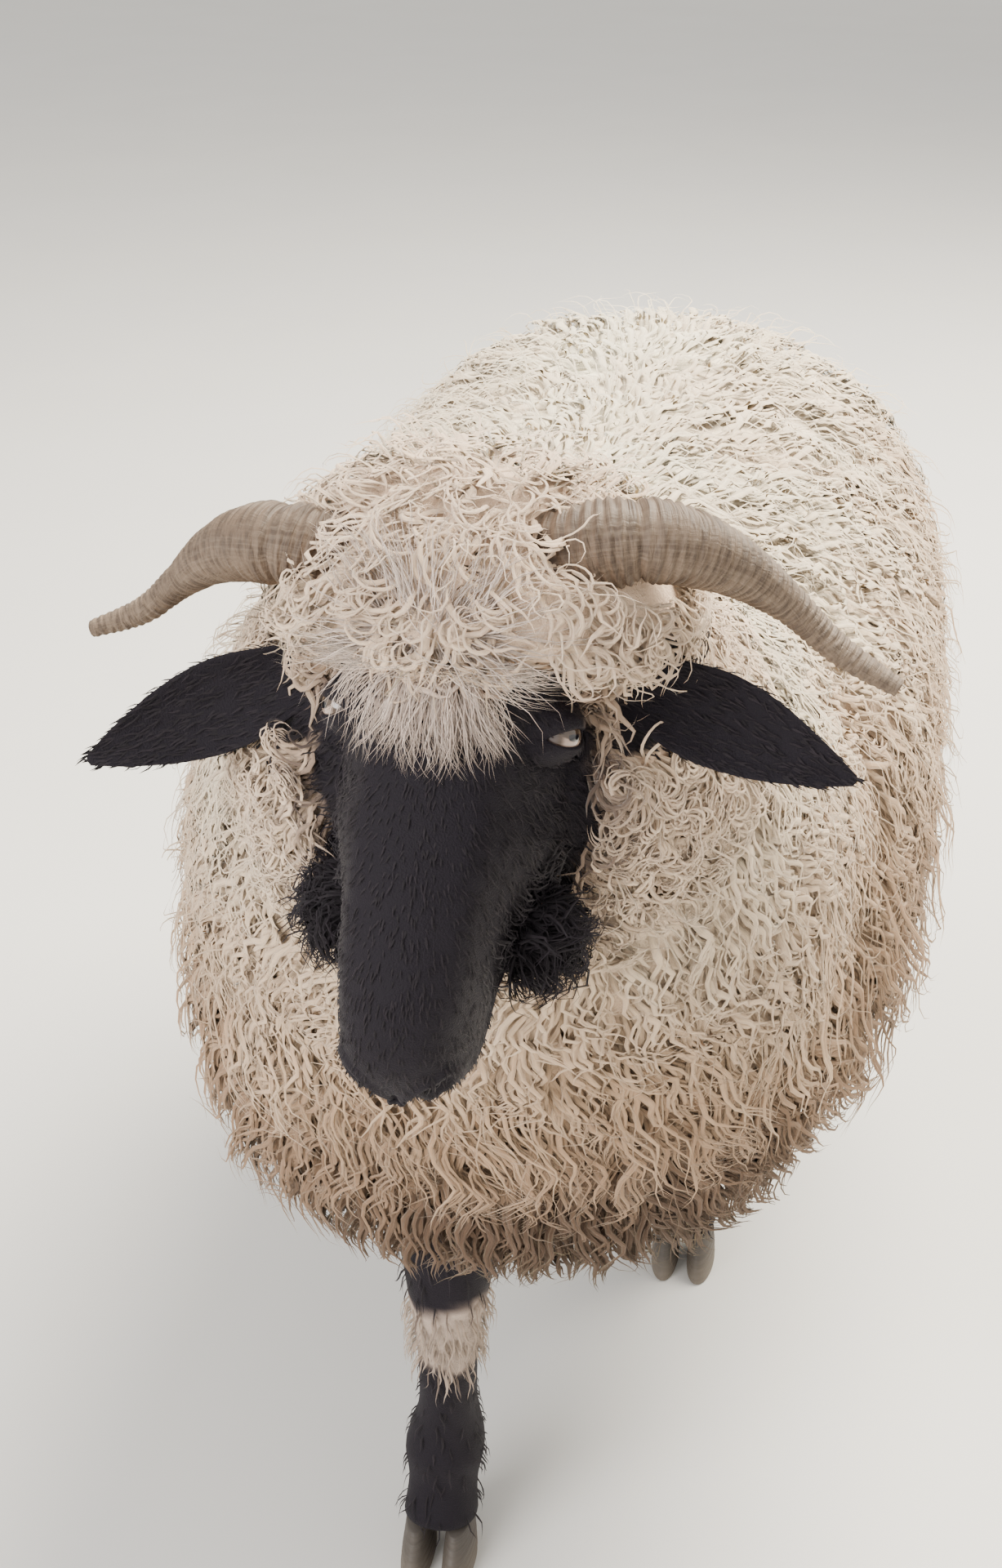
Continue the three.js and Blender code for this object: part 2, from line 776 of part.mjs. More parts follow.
// The pale hairs that fan out from the cap over the forehead.
const FAN = { count: 7, sweep: 1.5, length: 66, width: 15, thick: 6 };

// The lie of the wool: down the sides from the spine and a little back, and round the face.
const sideways = (root, reach) => THREE.MathUtils.clamp(root.x / reach, -1, 1);
const bodyLie = ({ root }) => v(0.35 * sideways(root, 120), 0.3, -1);
const neckLie = ({ root }) => v(0.5 * sideways(root, 120), 0.05, -1);
const capLie = ({ root }) => faceDown.clone().multiplyScalar(0.8).add(v(0.9 * sideways(root, 90), -0.2, 0));

function fleece() {
  const random = stream(SEED);
  const solids = [];
  const add = (places, size, lie, keep) => {
    for (const place of places) if (keep(place.root)) solids.push(clumpAt(place, size, lie(place), random));
  };
  const inBody = (p) => torso.holds(p, RISE);
  const inNeck = (p) => neck.holds(p, RISE);
  const inCap = (p) => cap.holds(p, CAP_DEPTH);
  const { spacing } = BODY_CLUMP;
  add(spread(torso, RISE, spacing, random), BODY_CLUMP, bodyLie, (p) => !inNeck(p));
  add(spread(neck, RISE, spacing, random), BODY_CLUMP, neckLie, (p) => !inBody(p) && !inCap(p));
  const behindFace = (p) => p.clone().sub(CAP_FRONT).dot(capEdge) > 0;
  const capPlaces = spread(cap, CAP_DEPTH, CAP_CLUMP.spacing, random);
  add(capPlaces, CAP_CLUMP, capLie, (p) => !inNeck(p) && behindFace(p));
  for (let i = 0; i < FAN.count; i++) {
    const across = i / (FAN.count - 1) - 0.5;
    const turn = Math.PI / 2 + FAN.sweep * across;
    const reach = FAN.length * (0.85 + 0.3 * random());
    const [from, middle, to] = [
      [turn, -45, 8],
      [turn + 0.1 * across, 0, 9],
      [turn + 0.5 * across, -20 + reach, 3],
    ].map(([angle, s, out]) => skull.at(angle, s, -out));
    solids.push(lock(from, middle, to, skull.outward(turn, 0, 0), FAN.width, FAN.thick));
  }
  const core = ahead(cap.solid(12, 7, CAP_DEPTH), capEdge, CAP_FRONT);
  return join([torso.solid(14, 10, RISE), neck.solid(12, 8, RISE), core, ...solids]);
}

// Assembly
const earSockets = Object.values(ears).map((one) => ear(one, 2 * GAP));
const hornSockets = [-1, 1].map((hand) => horn(hand, GAP));
const holes = [headBulk(GAP), jawTufts(GAP), ...earSockets, ...hornSockets, tail(GAP)];
for (const leg of legs) holes.push(legSolid(leg, GAP));
const coat = fleece().subtract(join(holes));

const trunk = behind(coat, NECK_CUT.normal, NECK_CUT.point);
const fore = ahead(coat, NECK_CUT.normal, NECK_CUT.point);
const FORWARD = v(0, -1, 0);
const [shoulderCut, rumpCut] = TORSO_CUTS.map((y) => v(0, y, 0));
addNode("torso_front", ahead(trunk, FORWARD, shoulderCut), wool);
addNode("torso_middle", ahead(behind(trunk, FORWARD, shoulderCut), FORWARD, rumpCut), wool);
addNode("torso_rear", behind(trunk, FORWARD, rumpCut), wool);
addNode("neck", behind(fore, HEAD_CUT.normal, HEAD_CUT.point), wool);
addNode("topknot", ahead(fore, HEAD_CUT.normal, HEAD_CUT.point), wool);
addNode("head", head().subtract(join([...earSockets, ...hornSockets])), blackHair);
addNode("tail", tail(), wool);

for (const hand of [-1, 1]) {
  const side = hand < 0 ? "right" : "left";
  addNode(`eye_${side}`, eyeball(hand), eyeGlass);
  addNode(`ear_${side}`, ear(ears[side]), blackHair);
  addNode(`horn_${side}`, horn(hand), hornSheath);
}

const DOWN = v(0, 0, -1);
for (const leg of legs) {
  const joint = leg.hind ? "hock" : "knee";
  const heights = [KNEE_TOP, KNEE_FOOT, BAND_FOOT, HOOF_HEIGHT];
  const [kneeTop, kneeFoot, bandFoot, coronet] = heights.map((z) => v(0, 0, z));
  const whole = join([legSolid(leg), ...dewclaws(leg)]);
  const below = ahead(whole, DOWN, kneeTop);
  const shin = ahead(below, DOWN, kneeFoot);
  const cannon = behind(shin, DOWN, bandFoot).add(fringe(leg, BAND_FOOT, CANNON_LOCKS));
  const pastern = behind(ahead(shin, DOWN, bandFoot), DOWN, coronet);
  addNode(leg.name, behind(whole, DOWN, kneeTop), wool);
  addNode(`${leg.name}_${joint}`, behind(below, DOWN, kneeFoot), blackHair);
  addNode(`${leg.name}_cannon`, cannon, legHair);
  addNode(`${leg.name}_foot`, pastern.subtract(fringe(leg, BAND_FOOT, CANNON_LOCKS, GAP)), blackHair);
  const outer = Math.sign(leg.line[0].x);
  addNode(`${leg.name}_claw_inner`, claw(leg, -outer), hoofHorn);
  addNode(`${leg.name}_claw_outer`, claw(leg, outer), hoofHorn);
}

export default sheep;
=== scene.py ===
import math

import bpy
import numpy as np
from mathutils import Matrix
from mathutils.kdtree import KDTree


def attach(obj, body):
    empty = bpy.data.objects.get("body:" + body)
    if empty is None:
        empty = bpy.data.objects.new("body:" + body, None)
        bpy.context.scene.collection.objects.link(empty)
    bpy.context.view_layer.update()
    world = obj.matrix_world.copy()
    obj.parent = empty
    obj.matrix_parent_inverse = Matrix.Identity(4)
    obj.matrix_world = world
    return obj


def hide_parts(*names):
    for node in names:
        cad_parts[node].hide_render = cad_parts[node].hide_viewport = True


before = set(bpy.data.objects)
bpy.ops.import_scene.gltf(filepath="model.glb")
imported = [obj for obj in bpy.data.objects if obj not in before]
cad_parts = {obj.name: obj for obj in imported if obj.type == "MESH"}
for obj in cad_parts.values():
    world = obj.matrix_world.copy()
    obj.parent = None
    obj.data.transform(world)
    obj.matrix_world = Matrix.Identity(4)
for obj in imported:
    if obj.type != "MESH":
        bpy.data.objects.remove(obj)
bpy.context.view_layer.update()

# A Valais Blacknose sheep as a still, life-size model, dressed for the camera.
# The tables of the body's shape are in millimetres, everything that is made is in metres.

MM = 0.001
# Right and left, as signs of x
HANDS = (-1, 1)

# Camera, as in the photograph
PHOTO_HEIGHT = 1920
FOCAL_PIXELS = 2347
SENSOR = 36
CAMERA_PLACE = (0.190, -1.324, 1.289)
AZIMUTH = math.radians(11.1)
DIP = math.radians(29.3)
ROLL = math.radians(1.6)


def aim(name, data, place, right, up, way):
    """Puts a camera or a light at its place, with its right, its up and the way it looks."""
    made = bpy.data.objects.new(name, data)
    turn = Matrix([right, up, -way]).transposed().to_4x4()
    made.matrix_world = Matrix.Translation(place) @ turn
    bpy.context.scene.collection.objects.link(made)
    return made


def make_camera():
    right = np.array([math.cos(AZIMUTH), math.sin(AZIMUTH), 0])
    level = np.array([-math.sin(AZIMUTH), math.cos(AZIMUTH), 0])
    forward = level * math.cos(DIP) - np.array([0, 0, math.sin(DIP)])
    up = np.cross(right, forward)
    rolled_right = right * math.cos(ROLL) - up * math.sin(ROLL)
    rolled_up = right * math.sin(ROLL) + up * math.cos(ROLL)
    data = bpy.data.cameras.new("camera")
    data.sensor_width = SENSOR
    data.lens = FOCAL_PIXELS / PHOTO_HEIGHT * SENSOR
    camera = aim("camera", data, CAMERA_PLACE, rolled_right, rolled_up, forward)
    bpy.context.scene.camera = camera


make_camera()


# Numbers

RIPPLE_WAVES = 7


def unit(vectors):
    vectors = np.asarray(vectors, float)
    return vectors / np.maximum(np.linalg.norm(vectors, axis=-1, keepdims=True), 1e-9)


def across_of(vectors, along):
    """Unit vectors with what points along the given ones taken away."""
    return unit(vectors - along * np.einsum("ij,ij->i", vectors, along)[:, None])


def ease(low, high, values):
    """0 below low, 1 above high, smooth between."""
    t = np.clip((np.asarray(values, float) - low) / (high - low), 0, 1)
    return t * t * (3 - 2 * t)


def hill(distance, size):
    """1 at distance 0, fading to nothing past about twice the size."""
    return np.exp(-((distance / size) ** 2))


def smooth(rows, at):
    """Values of a table's columns at places along its first column, on a smooth curve."""
    rows = np.asarray(rows, float)
    stops = rows[:, 0]
    values = rows[:, 1:]
    at = np.clip(np.atleast_1d(at), stops[0], stops[-1])
    low = np.clip(np.searchsorted(stops, at, side="left") - 1, 0, len(stops) - 2)
    before = np.maximum(low - 1, 0)
    after = np.minimum(low + 2, len(stops) - 1)
    step = (stops[low + 1] - stops[low])[:, None]
    t = ((at - stops[low]) / step[:, 0])[:, None]
    leave = (values[low + 1] - values[before]) / (stops[low + 1] - stops[before])[:, None] * step
    arrive = (values[after] - values[low]) / (stops[after] - stops[low])[:, None] * step
    return (
        (2 * t**3 - 3 * t**2 + 1) * values[low]
        + (t**3 - 2 * t**2 + t) * leave
        + (3 * t**2 - 2 * t**3) * values[low + 1]
        + (t**3 - t**2) * arrive
    )


def ripple(points, size, seed):
    """A soft random field, about -1 to 1, whose swells are size metres across."""
    random = np.random.default_rng(seed)
    total = np.zeros(len(points))
    for _ in range(RIPPLE_WAVES):
        way = unit(random.normal(size=3)) * random.uniform(0.6, 1.6) * math.tau / (2 * size)
        total += np.sin(points @ way + random.uniform(0, math.tau))
    return total / math.sqrt(RIPPLE_WAVES)


def round_about(count):
    """Cosines and sines of evenly spaced turns."""
    turns = np.arange(count) * math.tau / count
    return np.cos(turns), np.sin(turns)


def bent(value, power):
    return np.sign(value) * np.abs(value) ** (2 / power)


def away_from(points, path):
    """How far each point is from a line through the path's points."""
    nearest = np.full(len(points), 1e9)
    for a, b in zip(path[:-1], path[1:]):
        span = b - a
        t = np.clip((points - a) @ span / (span @ span), 0, 1)
        nearest = np.minimum(nearest, np.linalg.norm(points - a - t[:, None] * span, axis=1))
    return nearest


class Stretch:
    """A straight stretch of the body. Rows are [s, top, bottom, half width, shift to the side]."""

    def __init__(self, origin, axis, back, rows, belly=0.46, power=2.2, narrow=0.0):
        self.origin = np.array(origin, float)
        self.axis = unit(axis)
        back = np.array(back, float)
        self.back = unit(back - self.axis * (back @ self.axis))
        self.side = np.cross(self.back, self.axis)
        self.rows = np.array([row + [0] * (5 - len(row)) for row in rows], float)
        self.belly = belly
        self.power = power
        self.narrow = narrow
        self.start = rows[0][0]
        self.end = rows[-1][0]

    def section(self, s, inset):
        span = self.end - self.start
        middle = (self.start + self.end) / 2
        stretched = middle + (s - middle) * span / (span - 2 * inset)
        top, bottom, half, shift = smooth(self.rows, stretched).T
        mid = bottom + (top - bottom) * self.belly
        up = np.maximum(top - mid - inset, 1)
        down = np.maximum(mid - bottom - inset, 1)
        return mid, up, down, np.maximum(half - inset, 1), shift

    def at(self, turn, s, inset=0.0):
        turn, s = np.broadcast_arrays(np.atleast_1d(turn), np.atleast_1d(s))
        mid, up, down, half, shift = self.section(s, inset)
        c = bent(-np.cos(turn), self.power)
        b = bent(np.sin(turn), self.power)
        width = shift + half * c * (1 - self.narrow * b)
        height = mid + b * np.where(b > 0, up, down)
        along = s[:, None] * self.axis
        return self.origin + along + width[:, None] * self.side + height[:, None] * self.back

    def loft(self, stations, sides, inset=0.0):
        """Rings of points at the stations and a pole past each end."""
        turns = np.arange(sides) * math.tau / sides
        rings = [self.at(turns, s, inset) for s in stations]
        mid, _, _, _, shift = self.section(np.array([self.start + inset, self.end - inset]), inset)
        ends = np.array([self.start + inset, self.end - inset])[:, None] * self.axis
        poles = self.origin + ends + mid[:, None] * self.back + shift[:, None] * self.side
        return np.array(rings), poles

    def even_loft(self, rings, sides, inset=0.0):
        share = (1 - np.cos(np.pi * np.arange(1, rings + 1) / (rings + 1))) / 2
        stations = self.start + inset + (self.end - self.start - 2 * inset) * share
        return self.loft(stations, sides, inset)


def between(p, q, start, end, t):
    """On the line that leaves p at start and reaches q at end."""
    return (end - t) / (end - start) * p + (t - start) / (end - start) * q


def curve_through(points, count):
    """Evenly spaced points on a smooth curve through a few points."""
    points = np.array(points, float)
    ends = np.vstack([2 * points[0] - points[1], points, 2 * points[-1] - points[-2]])
    fine = []
    for i in range(len(points) - 1):
        level = list(ends[i : i + 4])
        steps = [math.sqrt(np.linalg.norm(b - a)) for a, b in zip(level[:-1], level[1:])]
        knots = np.cumsum([0] + steps)
        t = np.linspace(knots[1], knots[2], 40, endpoint=False)[:, None]
        level = [between(level[j], level[j + 1], knots[j], knots[j + 1], t) for j in range(3)]
        level = [between(level[j], level[j + 1], knots[j], knots[j + 2], t) for j in range(2)]
        fine.append(between(level[0], level[1], knots[1], knots[2], t))
    fine = np.vstack(fine + [points[-1:]])
    walked = np.concatenate([[0], np.cumsum(np.linalg.norm(np.diff(fine, axis=0), axis=1))])
    wanted = np.linspace(0, walked[-1], count)
    return np.stack([np.interp(wanted, walked, fine[:, k]) for k in range(3)], axis=1)


def limb(points, across, rows, rings, sides, power=2.0, swelling=None):
    """Rings along a smooth line. Rows are [share of the line, half width, half depth]."""
    line = curve_through(points, rings)
    along = unit(np.gradient(line, axis=0))
    a = unit(across - along * (along @ across)[:, None])
    b = np.cross(along, a)
    shares = np.linspace(0, 1, rings)
    half, deep = smooth(rows, shares).T
    turns = np.arange(sides) * math.tau / sides
    c = bent(-np.cos(turns), power)
    d = bent(np.sin(turns), power)
    swell = swelling(shares[:, None], turns[None, :]) if swelling else np.zeros((rings, sides))
    wide = (half[:, None] + swell) * c
    thick = (deep[:, None] + swell) * d
    return line[:, None] + wide[..., None] * a[:, None] + thick[..., None] * b[:, None], line[[0, -1]]


# Meshes

def new_mesh(name, points, quads, triangles):
    """A mesh from arrays: points in metres, quads and triangles as rows of vertex numbers."""
    quads = np.asarray(quads, np.int32).reshape(-1, 4)
    triangles = np.asarray(triangles, np.int32).reshape(-1, 3)
    corners = np.concatenate([quads.ravel(), triangles.ravel()])
    starts = np.concatenate([np.arange(len(quads)) * 4, len(quads) * 4 + np.arange(len(triangles)) * 3])
    mesh = bpy.data.meshes.new(name)
    mesh.vertices.add(len(points))
    mesh.vertices.foreach_set("co", np.asarray(points, np.float32).ravel())
    mesh.loops.add(len(corners))
    mesh.loops.foreach_set("vertex_index", corners.astype(np.int32))
    mesh.polygons.add(len(starts))
    mesh.polygons.foreach_set("loop_start", starts.astype(np.int32))
    mesh.update(calc_edges=True)
    mesh.shade_smooth()
    return mesh


def grid_quads(rings, sides, closed=False):
    """Quads between rings of points. In a closed grid the last ring also meets the first."""
    ring = np.arange(rings if closed else rings - 1)[:, None]
    far = (ring + 1) % rings * sides
    ring = ring * sides
    here = np.arange(sides)[None, :]
    ahead = (here + 1) % sides
    return np.stack([ring + here, ring + ahead, far + ahead, far + here], axis=-1).reshape(-1, 4)


def pole_fans(rings, sides):
    """The triangles that fan from a tube's first and last ring to the pole at each end."""
    here = np.arange(sides)
    ahead = (here + 1) % sides
    pole = np.full(sides, rings * sides)
    last = (rings - 1) * sides
    start = np.stack([pole, ahead, here], axis=-1)
    end = np.stack([pole + 1, last + here, last + ahead], axis=-1)
    return np.vstack([start, end])


def closed_mesh(name, rings, poles):
    """A closed mesh of rings between two poles, given in millimetres, facing outwards."""
    count, sides = rings.shape[:2]
    points = np.vstack([rings.reshape(-1, 3), poles]) * MM
    return turned_outwards(new_mesh(name, points, grid_quads(count, sides), pole_fans(count, sides)))


def turned_outwards(mesh):
    """Turns the faces outwards if the mesh's volume comes out below nothing."""
    mesh.calc_loop_triangles()
    a, b, c = mesh_points(mesh)[read(mesh.loop_triangles, "vertices", 3, np.int32)].transpose(1, 0, 2)
    if np.sum(np.einsum("ij,ij->i", a, np.cross(b, c))) < 0:
        mesh.flip_normals()
    return mesh


def read(items, key, width, kind=np.float32):
    """One property of all of a mesh's items, as a row for each."""
    values = np.zeros(len(items) * width, kind)
    items.foreach_get(key, values)
    return values.reshape(-1, width)


def mesh_points(mesh):
    return read(mesh.vertices, "co", 3).astype(float)


def mesh_normals(mesh):
    return read(mesh.vertex_normals, "vector", 3).astype(float)


def move_points(mesh, points):
    mesh.vertices.foreach_set("co", np.asarray(points, np.float32).ravel())
    mesh.update()


def put(name, mesh):
    piece = bpy.data.objects.new(name, mesh)
    bpy.context.scene.collection.objects.link(piece)
    return piece


def finished_mesh(piece):
    """The piece's mesh with its modifiers worked out, and the modifiers removed."""
    graph = bpy.context.evaluated_depsgraph_get()
    graph.update()
    mesh = bpy.data.meshes.new_from_object(piece.evaluated_get(graph), depsgraph=graph)
    piece.modifiers.clear()
    old = piece.data
    piece.data = mesh
    bpy.data.meshes.remove(old)
    return mesh


def dress(piece, material, body="root", replaced=()):
    """Gives a finished piece its material and its place in the frame."""
    piece.data.materials.clear()
    piece.data.materials.append(material)
    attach(piece, body)
    if replaced:
        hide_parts(*replaced)
    return piece


def add_numbers(mesh, name, values):
    layer = mesh.attributes.new(name, "FLOAT", "POINT")
    layer.data.foreach_set("value", np.asarray(values, np.float32).ravel())


def add_colours(mesh, name, colours):
    layer = mesh.attributes.new(name, "FLOAT_COLOR", "POINT")
    with_alpha = np.column_stack([colours, np.ones(len(colours))])
    layer.data.foreach_set("color", with_alpha.astype(np.float32).ravel())


# The body's outline, out to the tips of the coat

torso = Stretch((0, 0, 0), (0, 1, 0), (0, 0, 1), [
    [-350, 480, 420, 20, 30],
    [-335, 590, 345, 115, 30],
    [-290, 700, 285, 188, 30],
    [-200, 780, 258, 247, 27],
    [-100, 812, 252, 276, 19],
    [60, 810, 262, 286, 7],
    [220, 806, 276, 282, 0],
    [360, 806, 292, 282, -2],
    [460, 795, 320, 274, 0],
    [540, 750, 372, 228, 0],
    [585, 670, 455, 140, 0],
    [600, 590, 530, 20, 0],
])
neck = Stretch((0, -120, 600), (0, -0.78, 0.62), (0, 0.62, 0.78), [
    [-60, 150, -250, 140, -22],
    [0, 190, -290, 226, -22],
    [100, 172, -270, 224, -18],
    [200, 145, -215, 196, -12],
    [290, 122, -165, 166, -6],
    [370, 112, -130, 138, -3],
    [430, 70, -90, 90, 0],
    [445, 20, -40, 20, 0],
], belly=0.5)

# The head's own directions: down the face, out of the forehead, and to the sheep's left
FACE_LINE = math.radians(60)
HEAD_TURN = -0.06
HEAD_LEAN = 0.06
FOREHEAD = np.array([-1.0, -518, 860])
head_turn = np.array(Matrix.Rotation(HEAD_LEAN, 3, "Y") @ Matrix.Rotation(HEAD_TURN, 3, "Z"))
face_down = head_turn @ np.array([0, -math.cos(FACE_LINE), -math.sin(FACE_LINE)])
face_out = head_turn @ np.array([0, -math.sin(FACE_LINE), math.cos(FACE_LINE)])
face_side = np.cross(face_out, face_down)
head_axes = np.array([face_side, face_down, face_out])


def on_head(x, s, out):
    """A point in millimetres from its place across, down and out of the face."""
    return FOREHEAD + np.array([x, s, out], float) @ head_axes


def face_place(points):
    """Across, down and out of the face, in millimetres, for points in metres."""
    return (points / MM - FOREHEAD) @ head_axes.T


skull = Stretch(FOREHEAD, face_down, face_out, [
    [-118, -45, -95, 18],
    [-105, -22, -125, 44],
    [-70, -4, -150, 58],
    [-30, 2, -158, 64],
    [10, 0, -156, 64],
    [50, 2, -140, 58],
    [90, 4, -118, 48],
    [130, 2, -100, 42],
    [158, -4, -88, 37],
    [178, -14, -76, 31],
    [190, -30, -62, 19],
    [194, -42, -50, 8],
], belly=0.5, power=2.4, narrow=0.08)
cap = Stretch(FOREHEAD, face_down, face_out, [
    [-146, -36, -100, 40],
    [-132, -8, -150, 80],
    [-104, 12, -180, 104],
    [-66, 34, -188, 116],
    [-28, 32, -180, 114],
    [-10, 12, -120, 80],
], belly=0.5, power=2.1)
CAP_EDGE_POINT = on_head(0, -26, 12)
CAP_EDGE_WAY = unit(-0.95 * face_down + 0.31 * face_out)

# Depth of the skin under the tips of the wool, and of the short hair
WOOL_DEPTH = 14
CAP_DEPTH = 9
HAIR_DEPTH = 2.5

# Legs, each line from inside the wool down to the coronet
KNEE_TOP = 318
KNEE_FOOT = 264
BAND_FOOT = 200
HOOF_HEIGHT = 40
LEGS = {
    "foreleg_right": [
        (-66, -205, 400), (-64, -268, 310), (-64, -287, 262),
        (-68, -288, 150), (-72, -288, 100), (-75, -303, HOOF_HEIGHT),
    ],
    "foreleg_left": [
        (82, -90, 400), (82, -30, 310), (83, -2, 262),
        (84, 52, 150), (84, 72, 100), (84, 66, HOOF_HEIGHT),
    ],
    "hindleg_right": [
        (-92, 440, 400), (-92, 500, 318), (-92, 512, 270),
        (-92, 512, 150), (-92, 512, 100), (-92, 496, HOOF_HEIGHT),
    ],
    "hindleg_left": [
        (92, 370, 400), (92, 408, 318), (92, 410, 270),
        (90, 372, 150), (90, 358, 100), (90, 338, HOOF_HEIGHT),
    ],
}
LEG_ROWS = [
    [0, 60, 64],
    [0.22, 48, 52],
    [0.36, 33, 36],
    [0.44, 29, 32],
    [0.52, 25, 27],
    [0.72, 24, 26],
    [0.84, 30, 32],
    [0.93, 27, 29],
    [1, 29, 32],
]
TAIL_LINE = [(0, 515, 690), (0, 556, 640), (0, 570, 560), (0, 568, 470), (0, 560, 410)]
TAIL_ROWS = [[0, 24, 16], [0.3, 32, 17], [0.7, 34, 18], [0.92, 24, 14], [1, 8, 6]]
DEWCLAW_ROWS = [[0, 7, 7], [0.5, 7.5, 6], [1, 3, 2]]
DEWCLAW_HEIGHT = 106
CROSSWISE = np.array([1.0, 0, 0])

# Swelling under the black tuft of each jaw: its place on the face and its half sizes
JAW_PLACE = (46, 100, -86)
JAW_SIZE = (17, 24, 18)

# Eyes
EYE_RADIUS = 13
EYE_HALF_SPAN = 54
EYE_LENGTHWISE = (0.48, -0.88, 0.36)


def eye_frame(hand):
    """An eye's centre, and its directions forward along the lids, up and out of the head."""
    centre = on_head(hand * EYE_HALF_SPAN, -3, -38)
    out = unit([hand, -0.55, 0.24])
    lengthwise = np.array(EYE_LENGTHWISE) * [-hand, 1, 1]
    fore = unit(lengthwise - out * (lengthwise @ out))
    up = np.cross(fore, out) * hand
    return centre, fore, up, out


def in_eye(points, hand):
    """Places along the lids, up and out of the eye's centre, in millimetres."""
    centre, fore, up, out = eye_frame(hand)
    from_centre = points / MM - centre
    return from_centre @ fore, from_centre @ up, from_centre @ out


# Markings: how black the coat is at a point, and its colour

EARS = {
    "right": ((-74, -446, 854), (-204, -470, 798)),
    "left": ((74, -446, 857), (203, -466, 814)),
}
# Colours of the wool by height, from the belly to the back: the wool's own tan to cream, with painted
# light, lighter up on the back, and painted shade, near black, low under the belly
WOOL_TONES_AND_PAINTED_LIGHT = [
    [300, 0.055, 0.033, 0.021],
    [400, 0.125, 0.075, 0.046],
    [540, 0.460, 0.295, 0.180],
    [680, 0.760, 0.545, 0.365],
    [860, 0.990, 0.865, 0.610],
]
CROWN = np.array([0.84, 0.59, 0.40])
BLACK = np.array([0.010, 0.007, 0.010])
# The leg bands' wool: white wool given a dark tan, partly its own pinkish brown and partly painted shade
# under the body.
BAND_TAN_AND_PAINTED_SHADE = np.array([0.38, 0.28, 0.215])
FORELOCK = np.array([1.0, 0.76, 0.61])
DUSK = np.array([0.13, 0.09, 0.08])
DUSKY_RIM = 9
UNDERWOOL = (0.94, 1.0, 1.07)
VIOLET = (0.8, 0.74, 0.80, 1)

# Half width of the black face, and how far down its sides it goes, by place down the face
FACE_PATCH = [
    [-60, 56, -40],
    [-30, 66, -52],
    [0, 74, -70],
    [30, 76, -116],
    [60, 68, -140],
    [72, 66, -146],
    [90, 80, -146],
    [104, 88, -146],
    [120, 82, -142],
    [140, 62, -140],
    [200, 60, -140],
]


def blackness(points, wider=0):
    """1 where the coat is black: face, eye and jaw patches, knees, hocks and feet."""
    x, s, out = face_place(points).T
    side = np.abs(x)
    edge = 4 * ripple(points, 0.022, 3) + 2 * ripple(points, 0.009, 4)
    half, low = smooth(FACE_PATCH, s).T
    along = (points / MM - CAP_EDGE_POINT) @ CAP_EDGE_WAY
    face = ease(5 + 2 * wider, -5, side - half + edge) * ease(-6 - 2 * wider, 6, out - low + edge)
    face = face * ease(0, -6, along + 0.2 * edge) * ease(-66, -54, s + edge)
    height = points[:, 2] / MM
    height = height + edge
    band = ease(BAND_FOOT - 5, BAND_FOOT + 7, height) * ease(KNEE_FOOT + 6, KNEE_FOOT - 6, height)
    leg = ease(KNEE_TOP + 12, KNEE_TOP - 4, height) * (1 - band)
    return np.clip(np.maximum(face, leg), 0, 1)


def forehead(points):
    """1 on the middle of the forehead, where pale hairs of the forelock grow among the black."""
    x, s, out = face_place(points).T
    edge = 5 * ripple(points, 0.012, 9)
    return ease(34, 22, np.abs(x + 5) + edge) * ease(10, -6, s + edge) * (out > -60)


def coat_colour(points):
    """The wool's colour: cream on the back, beige on the flanks, brown under the chest and belly, with
    painted light by height: lighter on the back, and painted shade, near black, under the belly.
    """
    height = points[:, 2] / MM + 30 * ripple(points, 0.10, 5) + 14 * ripple(points, 0.03, 6)
    # Painted light by height: lighter on the back, painted shade under the belly.
    colour = smooth(WOOL_TONES_AND_PAINTED_LIGHT, height)
    to_crown = ease(240, 160, np.linalg.norm(points / MM - on_head(0, -60, -60), axis=1))[:, None]
    colour = colour * (1 - to_crown) + CROWN * to_crown
    # Below the body the wool takes the bands' tan, partly painted shade.
    on_leg = ease(300, 280, points[:, 2] / MM)[:, None]
    colour = colour * (1 - on_leg) + BAND_TAN_AND_PAINTED_SHADE * on_leg
    dusk = 0.8 * blackness(points, DUSKY_RIM)[:, None]
    colour = colour * (1 - dusk) + DUSK * dusk
    pale = forehead(points)[:, None]
    black = blackness(points)[:, None]
    return colour * (1 - black) + (FORELOCK * pale + BLACK * (1 - pale)) * black


# Materials

class Number:
    """A number in a node tree. Sums on it add Math nodes."""

    def __init__(self, tree, socket):
        self.tree = tree
        self.socket = socket

    def math(self, operation, *others):
        return self.tree.node("ShaderNodeMath", {"operation": operation}, dict(enumerate((self,) + others)))

    def __add__(self, other):
        return self.math("ADD", other)

    def __mul__(self, other):
        return self.math("MULTIPLY", other)

    def __sub__(self, other):
        return self.math("SUBTRACT", other)

    def __rsub__(self, other):
        return self * -1 + other

    def __truediv__(self, other):
        return self.math("DIVIDE", other)

    def __pow__(self, other):
        return self.math("POWER", other)

    __radd__ = __add__
    __rmul__ = __mul__


class Nodes:
    """A node tree while it is made."""

    def __init__(self, group):
        self.group = group

    def node(self, kind, settings=None, sockets=None, output=0):
        """Adds a node: its settings first, then its sockets' values or links. Gives one output."""
        made = self.group.nodes.new(kind)
        for name, value in (settings or {}).items():
            setattr(made, name, value)
        for name, value in (sockets or {}).items():
            if isinstance(value, Number):
                self.group.links.new(value.socket, made.inputs[name])
            else:
                made.inputs[name].default_value = value
        return Number(self, made.outputs[output]) if len(made.outputs) else None


